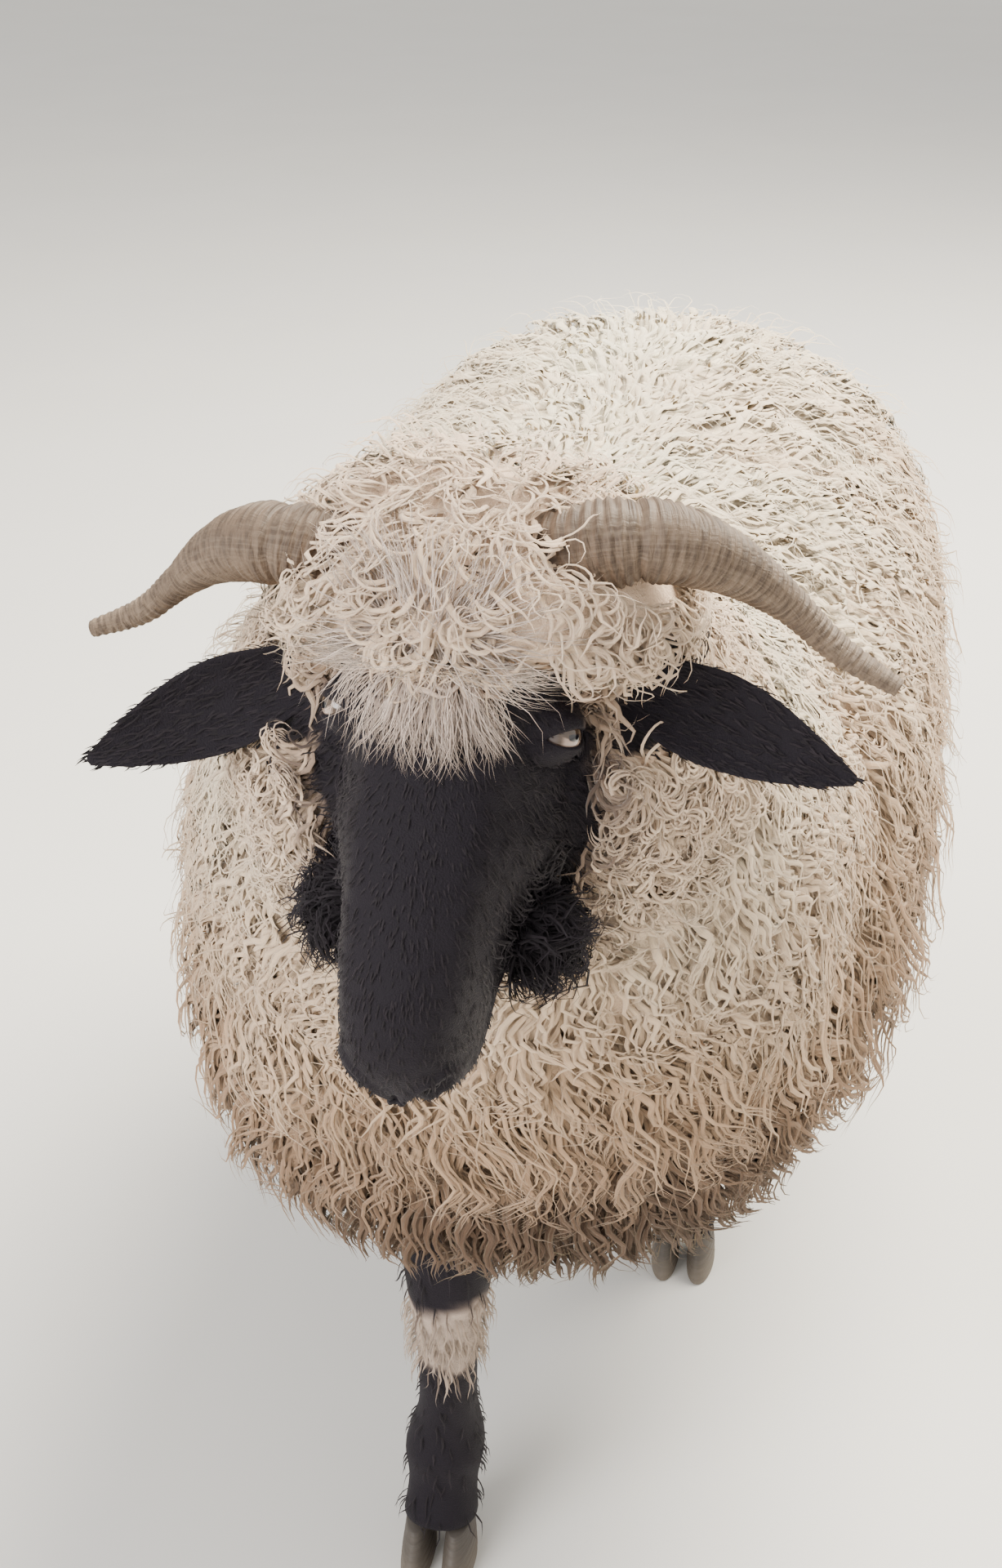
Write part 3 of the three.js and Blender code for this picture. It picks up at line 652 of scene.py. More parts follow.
class Finish(Nodes):
    """A material while it is made."""

    def __init__(self, name):
        self.material = bpy.data.materials.new(name)
        self.material.use_nodes = True
        super().__init__(self.material.node_tree)
        self.group.nodes.clear()

    def attribute(self, name, output=2):
        return self.node("ShaderNodeAttribute", {"attribute_name": name}, output=output)

    def place(self):
        return self.node("ShaderNodeTexCoord", output=3)

    def noise(self, scale, detail, roughness, vector=None, distortion=0.0):
        sockets = {
            "Vector": vector or self.place(),
            "Scale": scale,
            "Detail": detail,
            "Roughness": roughness,
            "Distortion": distortion,
        }
        return self.node("ShaderNodeTexNoise", None, sockets)

    def combine(self, x, y, z):
        return self.node("ShaderNodeCombineXYZ", None, {0: x, 1: y, 2: z})

    def grey(self, value):
        return self.node("ShaderNodeCombineColor", None, {0: value, 1: value, 2: value})

    def scaled(self, vector, by):
        return self.node("ShaderNodeVectorMath", {"operation": "MULTIPLY"}, {0: vector, 1: by})

    def ramp(self, value, stops):
        """A grey that follows the value through stops of [value, grey], straight between them."""
        made = self.node("ShaderNodeValToRGB", None, {0: value})
        elements = made.socket.node.color_ramp.elements
        while len(elements) < len(stops):
            elements.new(0.5)
        for element, (place, shade) in zip(elements, stops):
            element.position = place
            element.color = (shade, shade, shade, 1)
        return made

    def mix(self, amount, first, second, way="MIX"):
        settings = {"data_type": "RGBA", "blend_type": way}
        return self.node("ShaderNodeMix", settings, {0: amount, 6: rgba(first), 7: rgba(second)}, output=2)

    def bump(self, height, distance, strength):
        sockets = {"Strength": strength, "Distance": distance, "Height": height}
        return self.node("ShaderNodeBump", None, sockets)

    def strands(self, fineness):
        """Fine fibres along a lock, different in each. A larger fineness sets them closer."""
        tint = self.attribute("tint")
        across = self.attribute("across") * fineness + tint * 40
        return self.noise(1.0, 2, 0.6, self.combine(across, self.attribute("along") * 5, tint * 17))

    def shaded(self, colour, light):
        """A colour made lighter or darker by a number."""
        return self.mix(1.0, colour, self.grey(light), "MULTIPLY")

    def surface(self, **sockets):
        named = {name.replace("_", " "): value for name, value in sockets.items()}
        shader = self.node("ShaderNodeBsdfPrincipled", None, named)
        self.node("ShaderNodeOutputMaterial", None, {"Surface": shader})
        return self.material


def rgba(colour):
    if isinstance(colour, Number):
        return colour
    return (*colour, 1)


def wool_finish():
    """Wool: fine fibres along each lock, a little darker down among the roots, paler at the tips; the
    darkening at the roots is partly dirt and partly painted shade among the locks.
    """
    make = Finish("wool")
    along = make.attribute("along")
    tint = make.attribute("tint")
    strands = make.strands(2.5)
    patches = make.noise(9.0, 4, 0.6)
    # Darker toward the roots: partly dirt, partly painted shade down among the locks.
    light = 0.88 + along * 0.20 + (tint - 0.5) * 0.06 + (strands - 0.5) * 0.26 + (patches - 0.5) * 0.2
    return make.surface(
        Base_Color=make.shaded(make.attribute("coat", output=0), light),
        Roughness=0.8,
        Normal=make.bump(strands, 0.001, 0.7),
        Specular_IOR_Level=0.2,
        Subsurface_Weight=0.4,
        Subsurface_Radius=(1.0, 0.88, 0.75),
        Subsurface_Scale=0.004,
        Sheen_Weight=0.15,
        Sheen_Roughness=0.5,
        Sheen_Tint=(1.0, 0.90, 0.78, 1),
    )


def hair_finish():
    """Black hair: near black with a faint warm and violet tone, each hair lighter to its tip."""
    make = Finish("hair")
    along = make.attribute("along")
    strands = make.strands(4)
    tone = make.mix(make.attribute("tint"), (0.005, 0.003, 0.005), (0.012, 0.008, 0.012))
    tone = make.mix(make.attribute("black"), make.attribute("coat", output=0), tone)
    light = 0.8 + along * 0.5 + (strands - 0.5) * 0.6
    return make.surface(
        Base_Color=make.shaded(tone, light),
        Roughness=0.62 + (strands - 0.5) * 0.2,
        Normal=make.bump(strands, 0.0005, 0.6),
        Specular_IOR_Level=0.25,
        Sheen_Weight=0.05,
        Sheen_Roughness=0.4,
        Sheen_Tint=VIOLET,
    )


def skin_finish():
    """Skin with the close underwool and the velvety black hair of the face, feet and ears. The underwool is
    painted lighter than the coat, painted light that lifts the shaded gaps among the locks.
    """
    make = Finish("skin")
    black = make.attribute("black")
    matted = make.noise(160.0, 5, 0.65)
    pile = make.noise(900.0, 2, 0.6)
    # The underwool painted lighter than the coat's colour: painted light for the shaded gaps among the
    # locks.
    deep = make.shaded(make.attribute("coat", output=0), 1.05 + matted * 0.3)
    deep = make.mix(1.0, deep, UNDERWOOL, "MULTIPLY")
    velvet = make.mix(pile, (0.004, 0.003, 0.005), (0.010, 0.007, 0.012))
    height = matted * (1 - black) * 3 + pile * 0.8
    return make.surface(
        Base_Color=make.mix(black, deep, velvet),
        Roughness=0.72 + (pile - 0.5) * 0.1,
        Normal=make.bump(height, 0.0012, 0.8),
        Specular_IOR_Level=0.2,
        Sheen_Weight=0.03,
        Sheen_Roughness=0.4,
        Sheen_Tint=VIOLET,
    )


def horn_finish():
    """Horn: fine rings of growth crossed by long streaks, brown at the root and paler to the tip."""
    make = Finish("horn_sheath")
    along = make.attribute("along")
    turn = make.attribute("turn")
    rings = make.noise(1.0, 3, 0.6, make.combine(turn * 2, along * 85, 0.0), 0.3)
    streaks = make.noise(1.0, 4, 0.6, make.combine(turn * 26, along * 9, 3.0))
    worn = make.noise(38.0, 5, 0.65)
    tone = make.mix(along, (0.128, 0.086, 0.058), (0.185, 0.132, 0.090))
    tone = make.mix(make.ramp(rings, [(0.42, 0.0), (0.60, 1.0)]) * 0.75, tone, (0.052, 0.034, 0.024))
    tone = make.mix(make.ramp(streaks, [(0.45, 0.0), (0.75, 1.0)]) * 0.4, tone, (0.30, 0.23, 0.165))
    tone = make.mix(make.ramp(worn, [(0.5, 0.0), (0.8, 1.0)]) * 0.35, tone, (0.16, 0.12, 0.09))
    return make.surface(
        Base_Color=tone,
        Roughness=0.50 + worn * 0.22,
        Normal=make.bump(rings * 0.9 + streaks * 0.3 + worn * 0.3, 0.0024, 1.0),
        Specular_IOR_Level=0.35,
    )


def hoof_finish():
    """Hoof: dark horn with growth lines round it, scuffed and dusty towards the ground."""
    make = Finish("hoof_horn")
    lines = make.noise(1.0, 3, 0.6, make.scaled(make.place(), (18.0, 18.0, 420.0)))
    scuffs = make.noise(120.0, 5, 0.7)
    height = make.node("ShaderNodeSeparateXYZ", None, {0: make.place()}, output=2)
    dust = make.ramp(height / (HOOF_HEIGHT * MM), [(0.0, 1.0), (0.6, 0.15), (1.0, 0.0)])
    dust = dust * (0.35 + scuffs * 0.5)
    tone = make.mix(lines, (0.028, 0.024, 0.022), (0.085, 0.072, 0.060))
    tone = make.mix(dust, tone, (0.23, 0.19, 0.145))
    return make.surface(
        Base_Color=tone,
        Roughness=0.42 + scuffs * 0.35,
        Normal=make.bump(lines + scuffs * 0.5, 0.0009, 0.9),
        Specular_IOR_Level=0.4,
    )


def eye_finish():
    """Eye: iris and white darkened as painted shade under the brow, with fine rays, a level bar of a pupil,
    and a pale painted reflection in an arc along its foot.
    """
    make = Finish("eye")
    rim = make.attribute("rim")
    level = make.attribute("level")
    upright = make.attribute("upright")
    rays = make.noise(1.0, 4, 0.6, make.combine(level * 9, upright * 26, rim * 5))
    # Iris and white made dark: painted shade from the brow.
    iris = make.mix(rays, (0.030, 0.018, 0.011), (0.105, 0.066, 0.040))
    white = make.mix(rays, (0.060, 0.042, 0.036), (0.100, 0.072, 0.062))
    # A pale arc low on the eye: a painted reflection.
    painted_reflection = make.mix(rays, (0.30, 0.21, 0.16), (0.42, 0.31, 0.25))
    tone = make.mix(make.ramp(rim, [(0.66, 0.0), (0.76, 1.0)]), iris, white)
    tone = make.mix(make.attribute("pale"), tone, painted_reflection)
    tone = make.mix(make.attribute("pupil"), tone, (0.004, 0.004, 0.006))
    return make.surface(
        Base_Color=tone,
        Roughness=0.10 + rays * 0.04,
        Specular_IOR_Level=0.6,
        Coat_Weight=1.0,
        Coat_Roughness=0.03,
    )


def floor_finish():
    make = Finish("studio_floor")
    grain = make.noise(3.0, 3, 0.5)
    return make.surface(
        Base_Color=make.mix(grain, (0.70, 0.69, 0.66), (0.74, 0.73, 0.70)),
        Roughness=0.85,
        Specular_IOR_Level=0.1,
    )


# Head

NOSTRIL = [(6, 193, -52), (12, 189, -41), (19, 181, -33), (23, 174, -34)]
MOUTH = [(-0.42, 116), (-0.5, 142), (-0.62, 166)]
# The head's rings, closer where there is more to shape: where each stretch starts, and its count of rings
HEAD_RINGS = [(-116, 22), (-28, 40), (32, 54), (145, 38), (190, 7), (193.6, 1)]
HEAD_SIDES = 176
# The opening of the lids: half its length, and its heights above and below the line between its corners
LID_STATIONS = 84
LID_REACH = 12.8
LID_HEIGHTS = (4.4, 4.6)


def mouth_line():
    right = [skull.at(turn, s)[0] for turn, s in MOUTH]
    left = [skull.at(math.pi - turn, s)[0] for turn, s in MOUTH]
    return np.array(right + [on_head(0, 192, -64)] + left[::-1])


def head_mesh():
    """The head's skin: sockets, brows, cheeks, nostrils and the line of the mouth."""
    starts, counts = zip(*HEAD_RINGS)
    ends = starts[1:] + starts[-1:]
    stretches = [np.linspace(*stretch, endpoint=False) for stretch in zip(starts, ends, counts)]
    mesh = closed_mesh("head", *skull.loft(np.concatenate(stretches), HEAD_SIDES, HAIR_DEPTH))
    points = mesh_points(mesh)
    normals = mesh_normals(mesh)
    x, s, out = face_place(points).T
    side = np.abs(x)
    push = np.zeros(len(points))
    # Brow over each eye, hollow before it, cheekbone and jaw muscle
    push += 5.0 * hill(np.hypot((side - 50) / 1.0, (s + 20) / 0.9), 16) * ease(-60, -20, out)
    push -= 3.5 * hill(np.hypot(side - 50, s - 34), 15) * ease(-70, -40, out)
    push += 3.0 * hill(np.hypot(s - 46, out + 78), 26)
    push += 5.0 * hill(np.hypot(s - 22, out + 112), 34) * ease(20, 45, side)
    push -= 3.0 * hill(np.hypot(s - 108, out + 62), 30) * ease(15, 35, side)
    # Edges of the nose bone and the swell of the muzzle
    push += 2.0 * hill(side - 30, 9) * hill(s - 92, 70) * ease(-30, -10, out)
    push += 2.5 * hill(np.hypot(s - 168, out + 62), 20) * ease(12, 26, side)
    # Groove from the nose to the upper lip
    push -= 2.6 * hill(x, 2.0) * ease(-66, -60, out) * ease(-34, -40, out) * ease(160, 176, s)
    for hand in HANDS:
        path = np.array([on_head(hand * a, b, c) for a, b, c in NOSTRIL])
        off = away_from(points / MM, curve_through(path, 14))
        push += 2.2 * hill(off - 7, 3.2) - 8.5 * hill(off, 3.0)
        along, up, _ = in_eye(points, hand)
        near = ease(60, 30, np.abs(x - hand * EYE_HALF_SPAN))
        push -= 13 * ease(1.15, 0.55, np.hypot((along + 1) / 22, up / 15)) * near
    off = away_from(points / MM, curve_through(mouth_line(), 60))
    lower = 1 - ease(-66, -60, out)
    push += (1.8 + 0.8 * lower) * hill(off - 6, 4.0) - 5.0 * hill(off, 1.6)
    move_points(mesh, points + normals * push[:, None] * MM)
    return mesh


def lids_mesh(hand, face_points):
    """Both lids of an eye as one closed ring, from the edge of the opening out to the brow."""
    c, d = round_about(LID_STATIONS)
    centre, fore, up, out = eye_frame(hand)
    tall = np.where(d > 0, *LID_HEIGHTS) * np.abs(d) ** 1.15 * np.sign(d)
    edge_f = LID_REACH * c
    edge_u = tall - 0.8 * c
    depth = np.sqrt(np.maximum((EYE_RADIUS + 0.9) ** 2 - edge_f**2 - edge_u**2, 4.6**2))

    def place(f, u, o):
        return centre + np.outer(f, fore) + np.outer(u, up) + np.outer(o, out)

    edge = place(edge_f, edge_u, depth)
    wide = place(26 * c - 1, np.where(d > 0, 21, 18) * d, np.full(LID_STATIONS, 4.0))
    rim = np.array([face_points[np.argmin(np.linalg.norm(face_points - p, axis=1))] for p in wide])
    bulge = np.where(d > 0, 4.2, 2.6) * np.abs(d) ** 0.7 + 0.8
    rings = [
        place(edge_f * 1.03, edge_u * 1.12, depth - 3.2),
        place(edge_f * 0.985, edge_u * 0.97, depth - 1.1),
    ]
    for v in np.linspace(0, 1, 13):
        crease = -1.3 * hill(v - 0.52, 0.06) * np.where(d > 0, 1, 0.35) - 0.6 * hill(v - 0.8, 0.06)
        roll = 0.9 * hill(v - 0.06, 0.07)
        lift = bulge * math.sin(math.pi * v**0.75) + crease * np.abs(d) ** 0.5 + roll
        rings.append(edge * (1 - v) + rim * v + np.outer(lift - 2.2 * v**3, out))
    rings.append(rim - np.outer(np.full(LID_STATIONS, 7.0), out))
    quads = grid_quads(len(rings), LID_STATIONS, closed=True)
    return turned_outwards(new_mesh("lids", np.vstack(rings) * MM, quads, []))


# Ears
EAR_ROWS = [
    [0, 13, 0, 8],
    [0.14, 18, 8, 5],
    [0.4, 25, 8, 2.6],
    [0.62, 22, 6, 2.2],
    [0.85, 12, 2, 1.8],
    [1, 3, 0, 1.2],
]


def ear_axes(name):
    root, tip = (np.array(point, float) for point in EARS[name])
    along = unit(tip - root)
    front = np.array([0, -0.82, 0.25])
    front = unit(front - along * (front @ along))
    return root, tip, along, front, np.cross(front, along)


def ear_mesh(name):
    """An ear as a thin leaf, cupped along its length, with a rolled rim and ribs inside."""
    root, tip, along, front, across = ear_axes(name)
    shares = np.linspace(0, 1, 46)
    half, cup, deep = smooth(EAR_ROWS, shares).T[..., None]
    c, d = round_about(44)
    c = -c
    ribs = 0.5 * np.sin(c * 14) * (d > 0) * (1 - c**2) * (half / 25)
    wave = 1.6 * np.sin(shares * 9)[:, None] * c**2
    rim = 0.8 * hill(np.abs(c) - 0.95, 0.12)
    place_front = cup * (c * c - 1) * 1.15 + d * (deep + rim) + ribs + wave
    spine = root + (shares * np.linalg.norm(tip - root))[:, None] * along
    surface = spine[:, None] + (c * half)[..., None] * across + place_front[..., None] * front
    poles = np.array([root, tip + along * 1.5 - front * cup[-1]])
    return closed_mesh("ear", surface, poles)


# Horns: out from the poll, back and down, with a flat tip that flares
HORN_LINE = [
    (30, -449, 908), (62, -463, 930), (96, -460, 936), (130, -443, 921),
    (165, -424, 890), (190, -424, 867), (222, -429, 849),
]
HORN_ROWS = [
    [0, 22, 24],
    [0.2, 21.5, 23.5],
    [0.42, 18, 20],
    [0.58, 13, 15],
    [0.72, 9, 11],
    [0.88, 6.5, 9.5],
    [1, 4.5, 6],
]
# The right horn hangs lower at its middle, and its tip ends nearer and higher
RIGHT_HORN = {"sag": 12, "nearer": 12, "higher": 8}
HORN_RINGS = {
    "Ring count": 52.0,
    "Ring depth": 0.00085,
    "Year rings": 5.0,
    "Year ring depth": 0.0009,
    "Crease place": 0.30,
    "Crease depth": 0.0022,
    "Wear": 0.0009,
    "Seed": 4.0,
}


def ring_tree(material):
    """A geometry tree that works growth rings, year rings, a crease and wear into a horn."""
    group = bpy.data.node_groups.new("growth_rings", "GeometryNodeTree")
    for way in ("INPUT", "OUTPUT"):
        group.interface.new_socket("Geometry", in_out=way, socket_type="NodeSocketGeometry")
    for name, value in HORN_RINGS.items():
        socket = group.interface.new_socket(name, in_out="INPUT", socket_type="NodeSocketFloat")
        socket.default_value = value
    make = Nodes(group)
    entry = group.nodes.new("NodeGroupInput")
    given = {socket.name: Number(make, socket) for socket in entry.outputs}

    def noise(seed, scale, detail):
        place = make.node("GeometryNodeInputPosition")
        sockets = {"Vector": place, "W": seed, "Scale": scale, "Detail": detail}
        return make.node("ShaderNodeTexNoise", {"noise_dimensions": "4D"}, sockets)

    along = make.node("GeometryNodeInputNamedAttribute", {"data_type": "FLOAT"}, {"Name": "along"})
    wander = noise(given["Seed"], 26.0, 3.0)
    grain = noise(given["Seed"] + 9, 150.0, 4.0)
    fading = 1 - along
    drifting = along + (wander - 0.5) * 0.05
    fine = (drifting * given["Ring count"] * math.tau).math("SINE") * given["Ring depth"]
    yearly = (drifting * given["Year rings"] * math.tau).math("SINE").math("ABSOLUTE") ** 0.6
    yearly = yearly * given["Year ring depth"]
    off = (drifting - given["Crease place"]) * 70
    crease = (off * off * -1).math("EXPONENT") * given["Crease depth"]
    worn = (grain - 0.5) * given["Wear"]
    height = fine * (0.3 + fading) + yearly * fading + worn - crease
    normal = make.node("GeometryNodeInputNormal")
    push = make.node("ShaderNodeVectorMath", {"operation": "SCALE"}, {0: normal, "Scale": height})
    moved = make.node("GeometryNodeSetPosition", None, {"Geometry": given["Geometry"], "Offset": push})
    real = make.node("GeometryNodeRealizeInstances", None, {0: moved})
    done = make.node("GeometryNodeSetMaterial", None, {"Geometry": real, "Material": material})
    make.node("NodeGroupOutput", None, {0: done})
    return group


def apply_tree(piece, group, values):
    """Runs a tree on a piece with its named inputs set, and keeps the result as a plain mesh."""
    modifier = piece.modifiers.new(group.name, "NODES")
    modifier.node_group = group
    for item in group.interface.items_tree:
        if item.item_type == "SOCKET" and item.in_out == "INPUT" and item.name in values:
            modifier[item.identifier] = values[item.name]
    return finished_mesh(piece)


def horn_line(hand):
    """The points of a horn's line, in millimetres, for the right horn (-1) or the left (1)."""
    x, y, z = np.array(HORN_LINE, float).T
    if hand < 0:
        share = x / x[-1]
        z = z - RIGHT_HORN["sag"] * np.sin(math.pi * share) + RIGHT_HORN["higher"] * share**2
        x = x - RIGHT_HORN["nearer"] * share**2
    return np.stack([hand * x, y, z], axis=1)


def make_horns():
    material = horn_finish()
    group = ring_tree(material)
    rings = 260
    sides = 56
    around = 0.5 + 0.5 * round_about(sides)[0]
    for hand, name in zip(HANDS, ("horn_right", "horn_left")):
        surface, poles = limb(horn_line(hand), np.array([0, 0, 1.0]), HORN_ROWS, rings, sides)
        mesh = closed_mesh(name, surface, poles)
        add_numbers(mesh, "along", np.append(np.repeat(np.linspace(0, 1, rings), sides), [0, 1]))
        add_numbers(mesh, "turn", np.append(np.tile(around, rings), [0.5, 0.5]))
        piece = put(name, mesh)
        apply_tree(piece, group, {**HORN_RINGS, "Seed": HORN_RINGS["Seed"] + hand})
        piece.data.shade_smooth()
        dress(piece, material, replaced=[name])


def make_eyes():
    """Each eye: a ball with a domed front, a level pupil and its iris round it."""
    material = eye_finish()
    c, d = round_about(72)
    polar = np.linspace(0, math.pi, 62)[1:-1]
    dome = EYE_RADIUS + 0.9 * hill(polar, 0.62) - 0.15
    flat = (dome * np.sin(polar))[:, None]
    across = flat * c
    tall = flat * d
    deep = (dome * np.cos(polar))[:, None] * np.ones(len(c))
    for hand, name in zip(HANDS, ("eye_right", "eye_left")):
        centre, fore, up, out = eye_frame(hand)
        surface = centre + across[..., None] * fore + tall[..., None] * up + deep[..., None] * out
        poles = np.array([centre + out * dome[0], centre - out * dome[-1]])
        mesh = closed_mesh(name, surface, poles)
        level = np.append(across, [0, 0])
        upright = np.append(tall, [0, 0])
        facing = np.append(deep, [1, -1])
        in_front = facing > 0
        pupil = np.abs(level / 4.6) ** 2.6 + np.abs(upright / 1.9) ** 2.6
        # Where the pale painted reflection lies, low on the eye.
        low = ease(-0.6, -1.6, upright - 0.03 * level**2)
        add_numbers(mesh, "rim", np.hypot(level, upright) / EYE_RADIUS + (facing < 0))
        add_numbers(mesh, "level", level / EYE_RADIUS)
        add_numbers(mesh, "upright", upright / EYE_RADIUS)
        add_numbers(mesh, "pupil", ease(1.15, 0.85, pupil) * in_front)
        add_numbers(mesh, "pale", low * ease(8, 5.5, np.abs(level)) * in_front)
        dress(put(name, mesh), material, replaced=[name])


# Claws of the hooves
CLAW_GAP = 5
CLAW_LENGTH = 70
CLAW_WIDTH = 27
CLAW_ROWS = [
    [0.0, 0.94, -14],
    [0.03, 1.0, -14],
    [0.12, 1.0, -13],
    [0.35, 0.95, -10.5],
    [0.55, 0.9, -8],
    [0.85, 0.8, -2.5],
    [0.95, 0.79, -1],
    [1.0, 0.72, 0],
]


def claw_mesh(top, shift):
    """One claw: a long half oval on the ground, set back at the coronet, with lines of growth."""
    heights = np.concatenate([[0, 0.015, 0.03, 0.06], np.linspace(0.1, 1, 34)])
    c, d = round_about(40)
    size, reach = smooth(CLAW_ROWS, heights).T
    lines = 0.25 * np.sin(heights * 46) + 0.15 * np.sin(heights * 83 + 1)
    half = (CLAW_WIDTH / 2 * size + lines)[:, None]
    toe = np.where(d < 0, 1.1, 0.8)
    length = (CLAW_LENGTH / 2 * size + lines)[:, None] * toe
    inner = 1 - 0.12 * (np.sign(shift) * c > 0) * np.abs(c)
    x = top[0] + shift - c * half * inner
    y = top[1] + reach[:, None] + d * length
    z = np.repeat(heights[:, None] * HOOF_HEIGHT, 40, axis=1)
    surface = np.stack([x, y, z], axis=-1)
    poles = np.array([surface[0].mean(axis=0), surface[-1].mean(axis=0)])
    return closed_mesh("claw", surface, poles)


def make_hooves():
    material = hoof_finish()
    for name, line in LEGS.items():
        outer = math.copysign(1, line[0][0])
        for side, hand in (("inner", -outer), ("outer", outer)):
            label = f"{name}_claw_{side}"
            piece = put(label, claw_mesh(line[-1], hand * (CLAW_WIDTH + CLAW_GAP) / 2))
            dress(piece, material, replaced=[label])


# Skin: one surface over the head, neck, body, legs, ears and tail

# Size of the cubes that the parts of the body are run together from, and how often hollows are raised
CORE_GRAIN = 0.0085
FILLING_TURNS = 60


def leg_swell(shares, turns):
    """Knee, tendons and fetlock, as bumps on a leg's round."""
    behind = np.clip(np.sin(turns), 0, 1)
    before = np.clip(-np.sin(turns), 0, 1)
    flank = np.abs(np.cos(turns))
    knee = 3.0 * hill(shares - 0.36, 0.05) * (before + 0.6 * flank)
    tendon = 2.0 * hill(shares - 0.66, 0.12) * behind - 2.0 * hill(shares - 0.66, 0.14) * flank
    fetlock = 3.0 * hill(shares - 0.83, 0.05) * (behind + 0.3)
    return knee + tendon + fetlock


def dewclaw_mesh(line, hand):
    """A small dewclaw behind the fetlock."""
    points = curve_through(line, 60)
    centre = points[np.argmin(np.abs(points[:, 2] - DEWCLAW_HEIGHT))]
    top = centre + (hand * 13, 24, 6)
    path = [top, top + (hand * 1, 7, -8), top + (hand * 1, 6, -18)]
    return closed_mesh("dewclaw", *limb(path, CROSSWISE, DEWCLAW_ROWS, rings=9, sides=12))


def body_core():
    """Torso, neck and crown without their wool, run together and smoothed."""
    tubes = [
        torso.even_loft(rings=70, sides=72, inset=WOOL_DEPTH),
        neck.even_loft(rings=40, sides=64, inset=WOOL_DEPTH),
        cap_loft(),
        limb(TAIL_LINE, CROSSWISE, TAIL_ROWS, rings=30, sides=24),
    ]
    pieces = [put("core", closed_mesh("core", *tube)) for tube in tubes]
    with bpy.context.temp_override(active_object=pieces[0], selected_editable_objects=pieces):
        bpy.ops.object.join()
    core = pieces[0]
    remesh = core.modifiers.new("run_together", "REMESH")
    remesh.mode = "VOXEL"
    remesh.voxel_size = CORE_GRAIN
    soften = core.modifiers.new("soften", "SMOOTH")
    soften.factor = 0.6
    soften.iterations = 10
    fill_hollows(finished_mesh(core), FILLING_TURNS)
    return core


def fill_hollows(mesh, turns):
    """Raises the creases where parts of the body meet, and leaves what is rounded as it is."""
    points = mesh_points(mesh)
    normals = mesh_normals(mesh)
    ends = read(mesh.edges, "vertices", 2, np.int32)
    here, there = np.concatenate([ends, ends[:, ::-1]]).T
    degree = np.bincount(here, minlength=len(points))
    for _ in range(turns):
        around = [np.bincount(here, points[there, k], len(points)) / degree for k in range(3)]
        step = np.stack(around, axis=1) - points
        raised = np.clip(np.einsum("ij,ij->i", step, normals), 0, None)
        points += normals * (raised * 0.7)[:, None]
    move_points(mesh, points)


def cap_loft():
    """The crown under its wool, cut back to the edge of the face."""
    rings, poles = cap.even_loft(rings=30, sides=60, inset=CAP_DEPTH)
    points = np.vstack([rings.reshape(-1, 3), poles])
    ahead = (points - CAP_EDGE_POINT) @ CAP_EDGE_WAY
    points = points - np.minimum(ahead - 4, 0)[:, None] * CAP_EDGE_WAY
    return points[:-2].reshape(rings.shape), points[-2:]


def jaw_mesh(hand):
    """The swelling at the side of the jaw that the black tuft grows from."""
    place, size = np.array(JAW_PLACE, float) * [hand, 1, 1], np.array(JAW_SIZE)
    dips = np.linspace(0, math.pi, 16)[1:-1]
    turns = np.linspace(0, math.tau, 24, endpoint=False)
    way = np.stack([
        np.outer(np.sin(dips), np.cos(turns)),
        np.outer(np.sin(dips), np.sin(turns)),
        np.outer(np.cos(dips), np.ones(len(turns))),
    ], axis=-1)
    rings = FOREHEAD + (place + way * size) @ head_axes
    poles = FOREHEAD + (place + np.array([[0, 0, 1], [0, 0, -1]]) * size) @ head_axes
    return closed_mesh("jaw", rings, poles)


def join_all(base, others):
    """One closed surface from overlapping closed pieces."""
    group = bpy.data.collections.new("joined")
    bpy.context.scene.collection.children.link(group)
    for piece in others:
        group.objects.link(piece)
    union = base.modifiers.new("union", "BOOLEAN")
    union.operation = "UNION"
    union.operand_type = "COLLECTION"
    union.collection = group
    union.solver = "MANIFOLD"
    finished_mesh(base)
    for mesh in [piece.data for piece in others]:
        bpy.data.meshes.remove(mesh)
    bpy.data.collections.remove(group)


def unwrap(piece):
    """A flat layout of the piece's own surface, in its first UV map."""
    bpy.context.view_layer.objects.active = piece
    piece.select_set(True)
    bpy.ops.object.mode_set(mode="EDIT")
    bpy.ops.mesh.select_all(action="SELECT")
    bpy.ops.uv.smart_project(angle_limit=math.radians(66), island_margin=0.002)
    bpy.ops.object.mode_set(mode="OBJECT")
    piece.select_set(False)


def make_skin():
    skin = body_core()
    head = head_mesh()
    face_points = mesh_points(head) / MM
    others = [head]
    others += [lids_mesh(hand, face_points) for hand in HANDS]
    others += [jaw_mesh(hand) for hand in HANDS]
    others += [ear_mesh(name) for name in EARS]
    for line in LEGS.values():
        leg = limb(line, CROSSWISE, LEG_ROWS, rings=64, sides=30, power=2.2, swelling=leg_swell)
        others.append(closed_mesh("leg", *leg))
        others += [dewclaw_mesh(line, hand) for hand in HANDS]
    join_all(skin, [put("part", mesh) for mesh in others])
    skin.name = "skin"
    skin.data.name = "skin"
    skin.data.shade_smooth()
    unwrap(skin)
    points = mesh_points(skin.data)
    add_numbers(skin.data, "black", all_black(points) * (1 - 0.8 * forehead(points)))
    add_colours(skin.data, "coat", all_colour(points))
    return skin


def on_ear(points):
    """1 on the bare length of either ear."""
    found = np.zeros(len(points))
    for name in EARS:
        root, tip, along, front, across = ear_axes(name)
        away = points / MM - root
        share = away @ along / np.linalg.norm(tip - root)
        near = np.linalg.norm(away - np.outer(away @ along, along), axis=1) < 34
        found = np.maximum(found, ease(0.0, 0.12, share) * near)
    return found


def all_black(points):
    return np.maximum(blackness(points), on_ear(points))


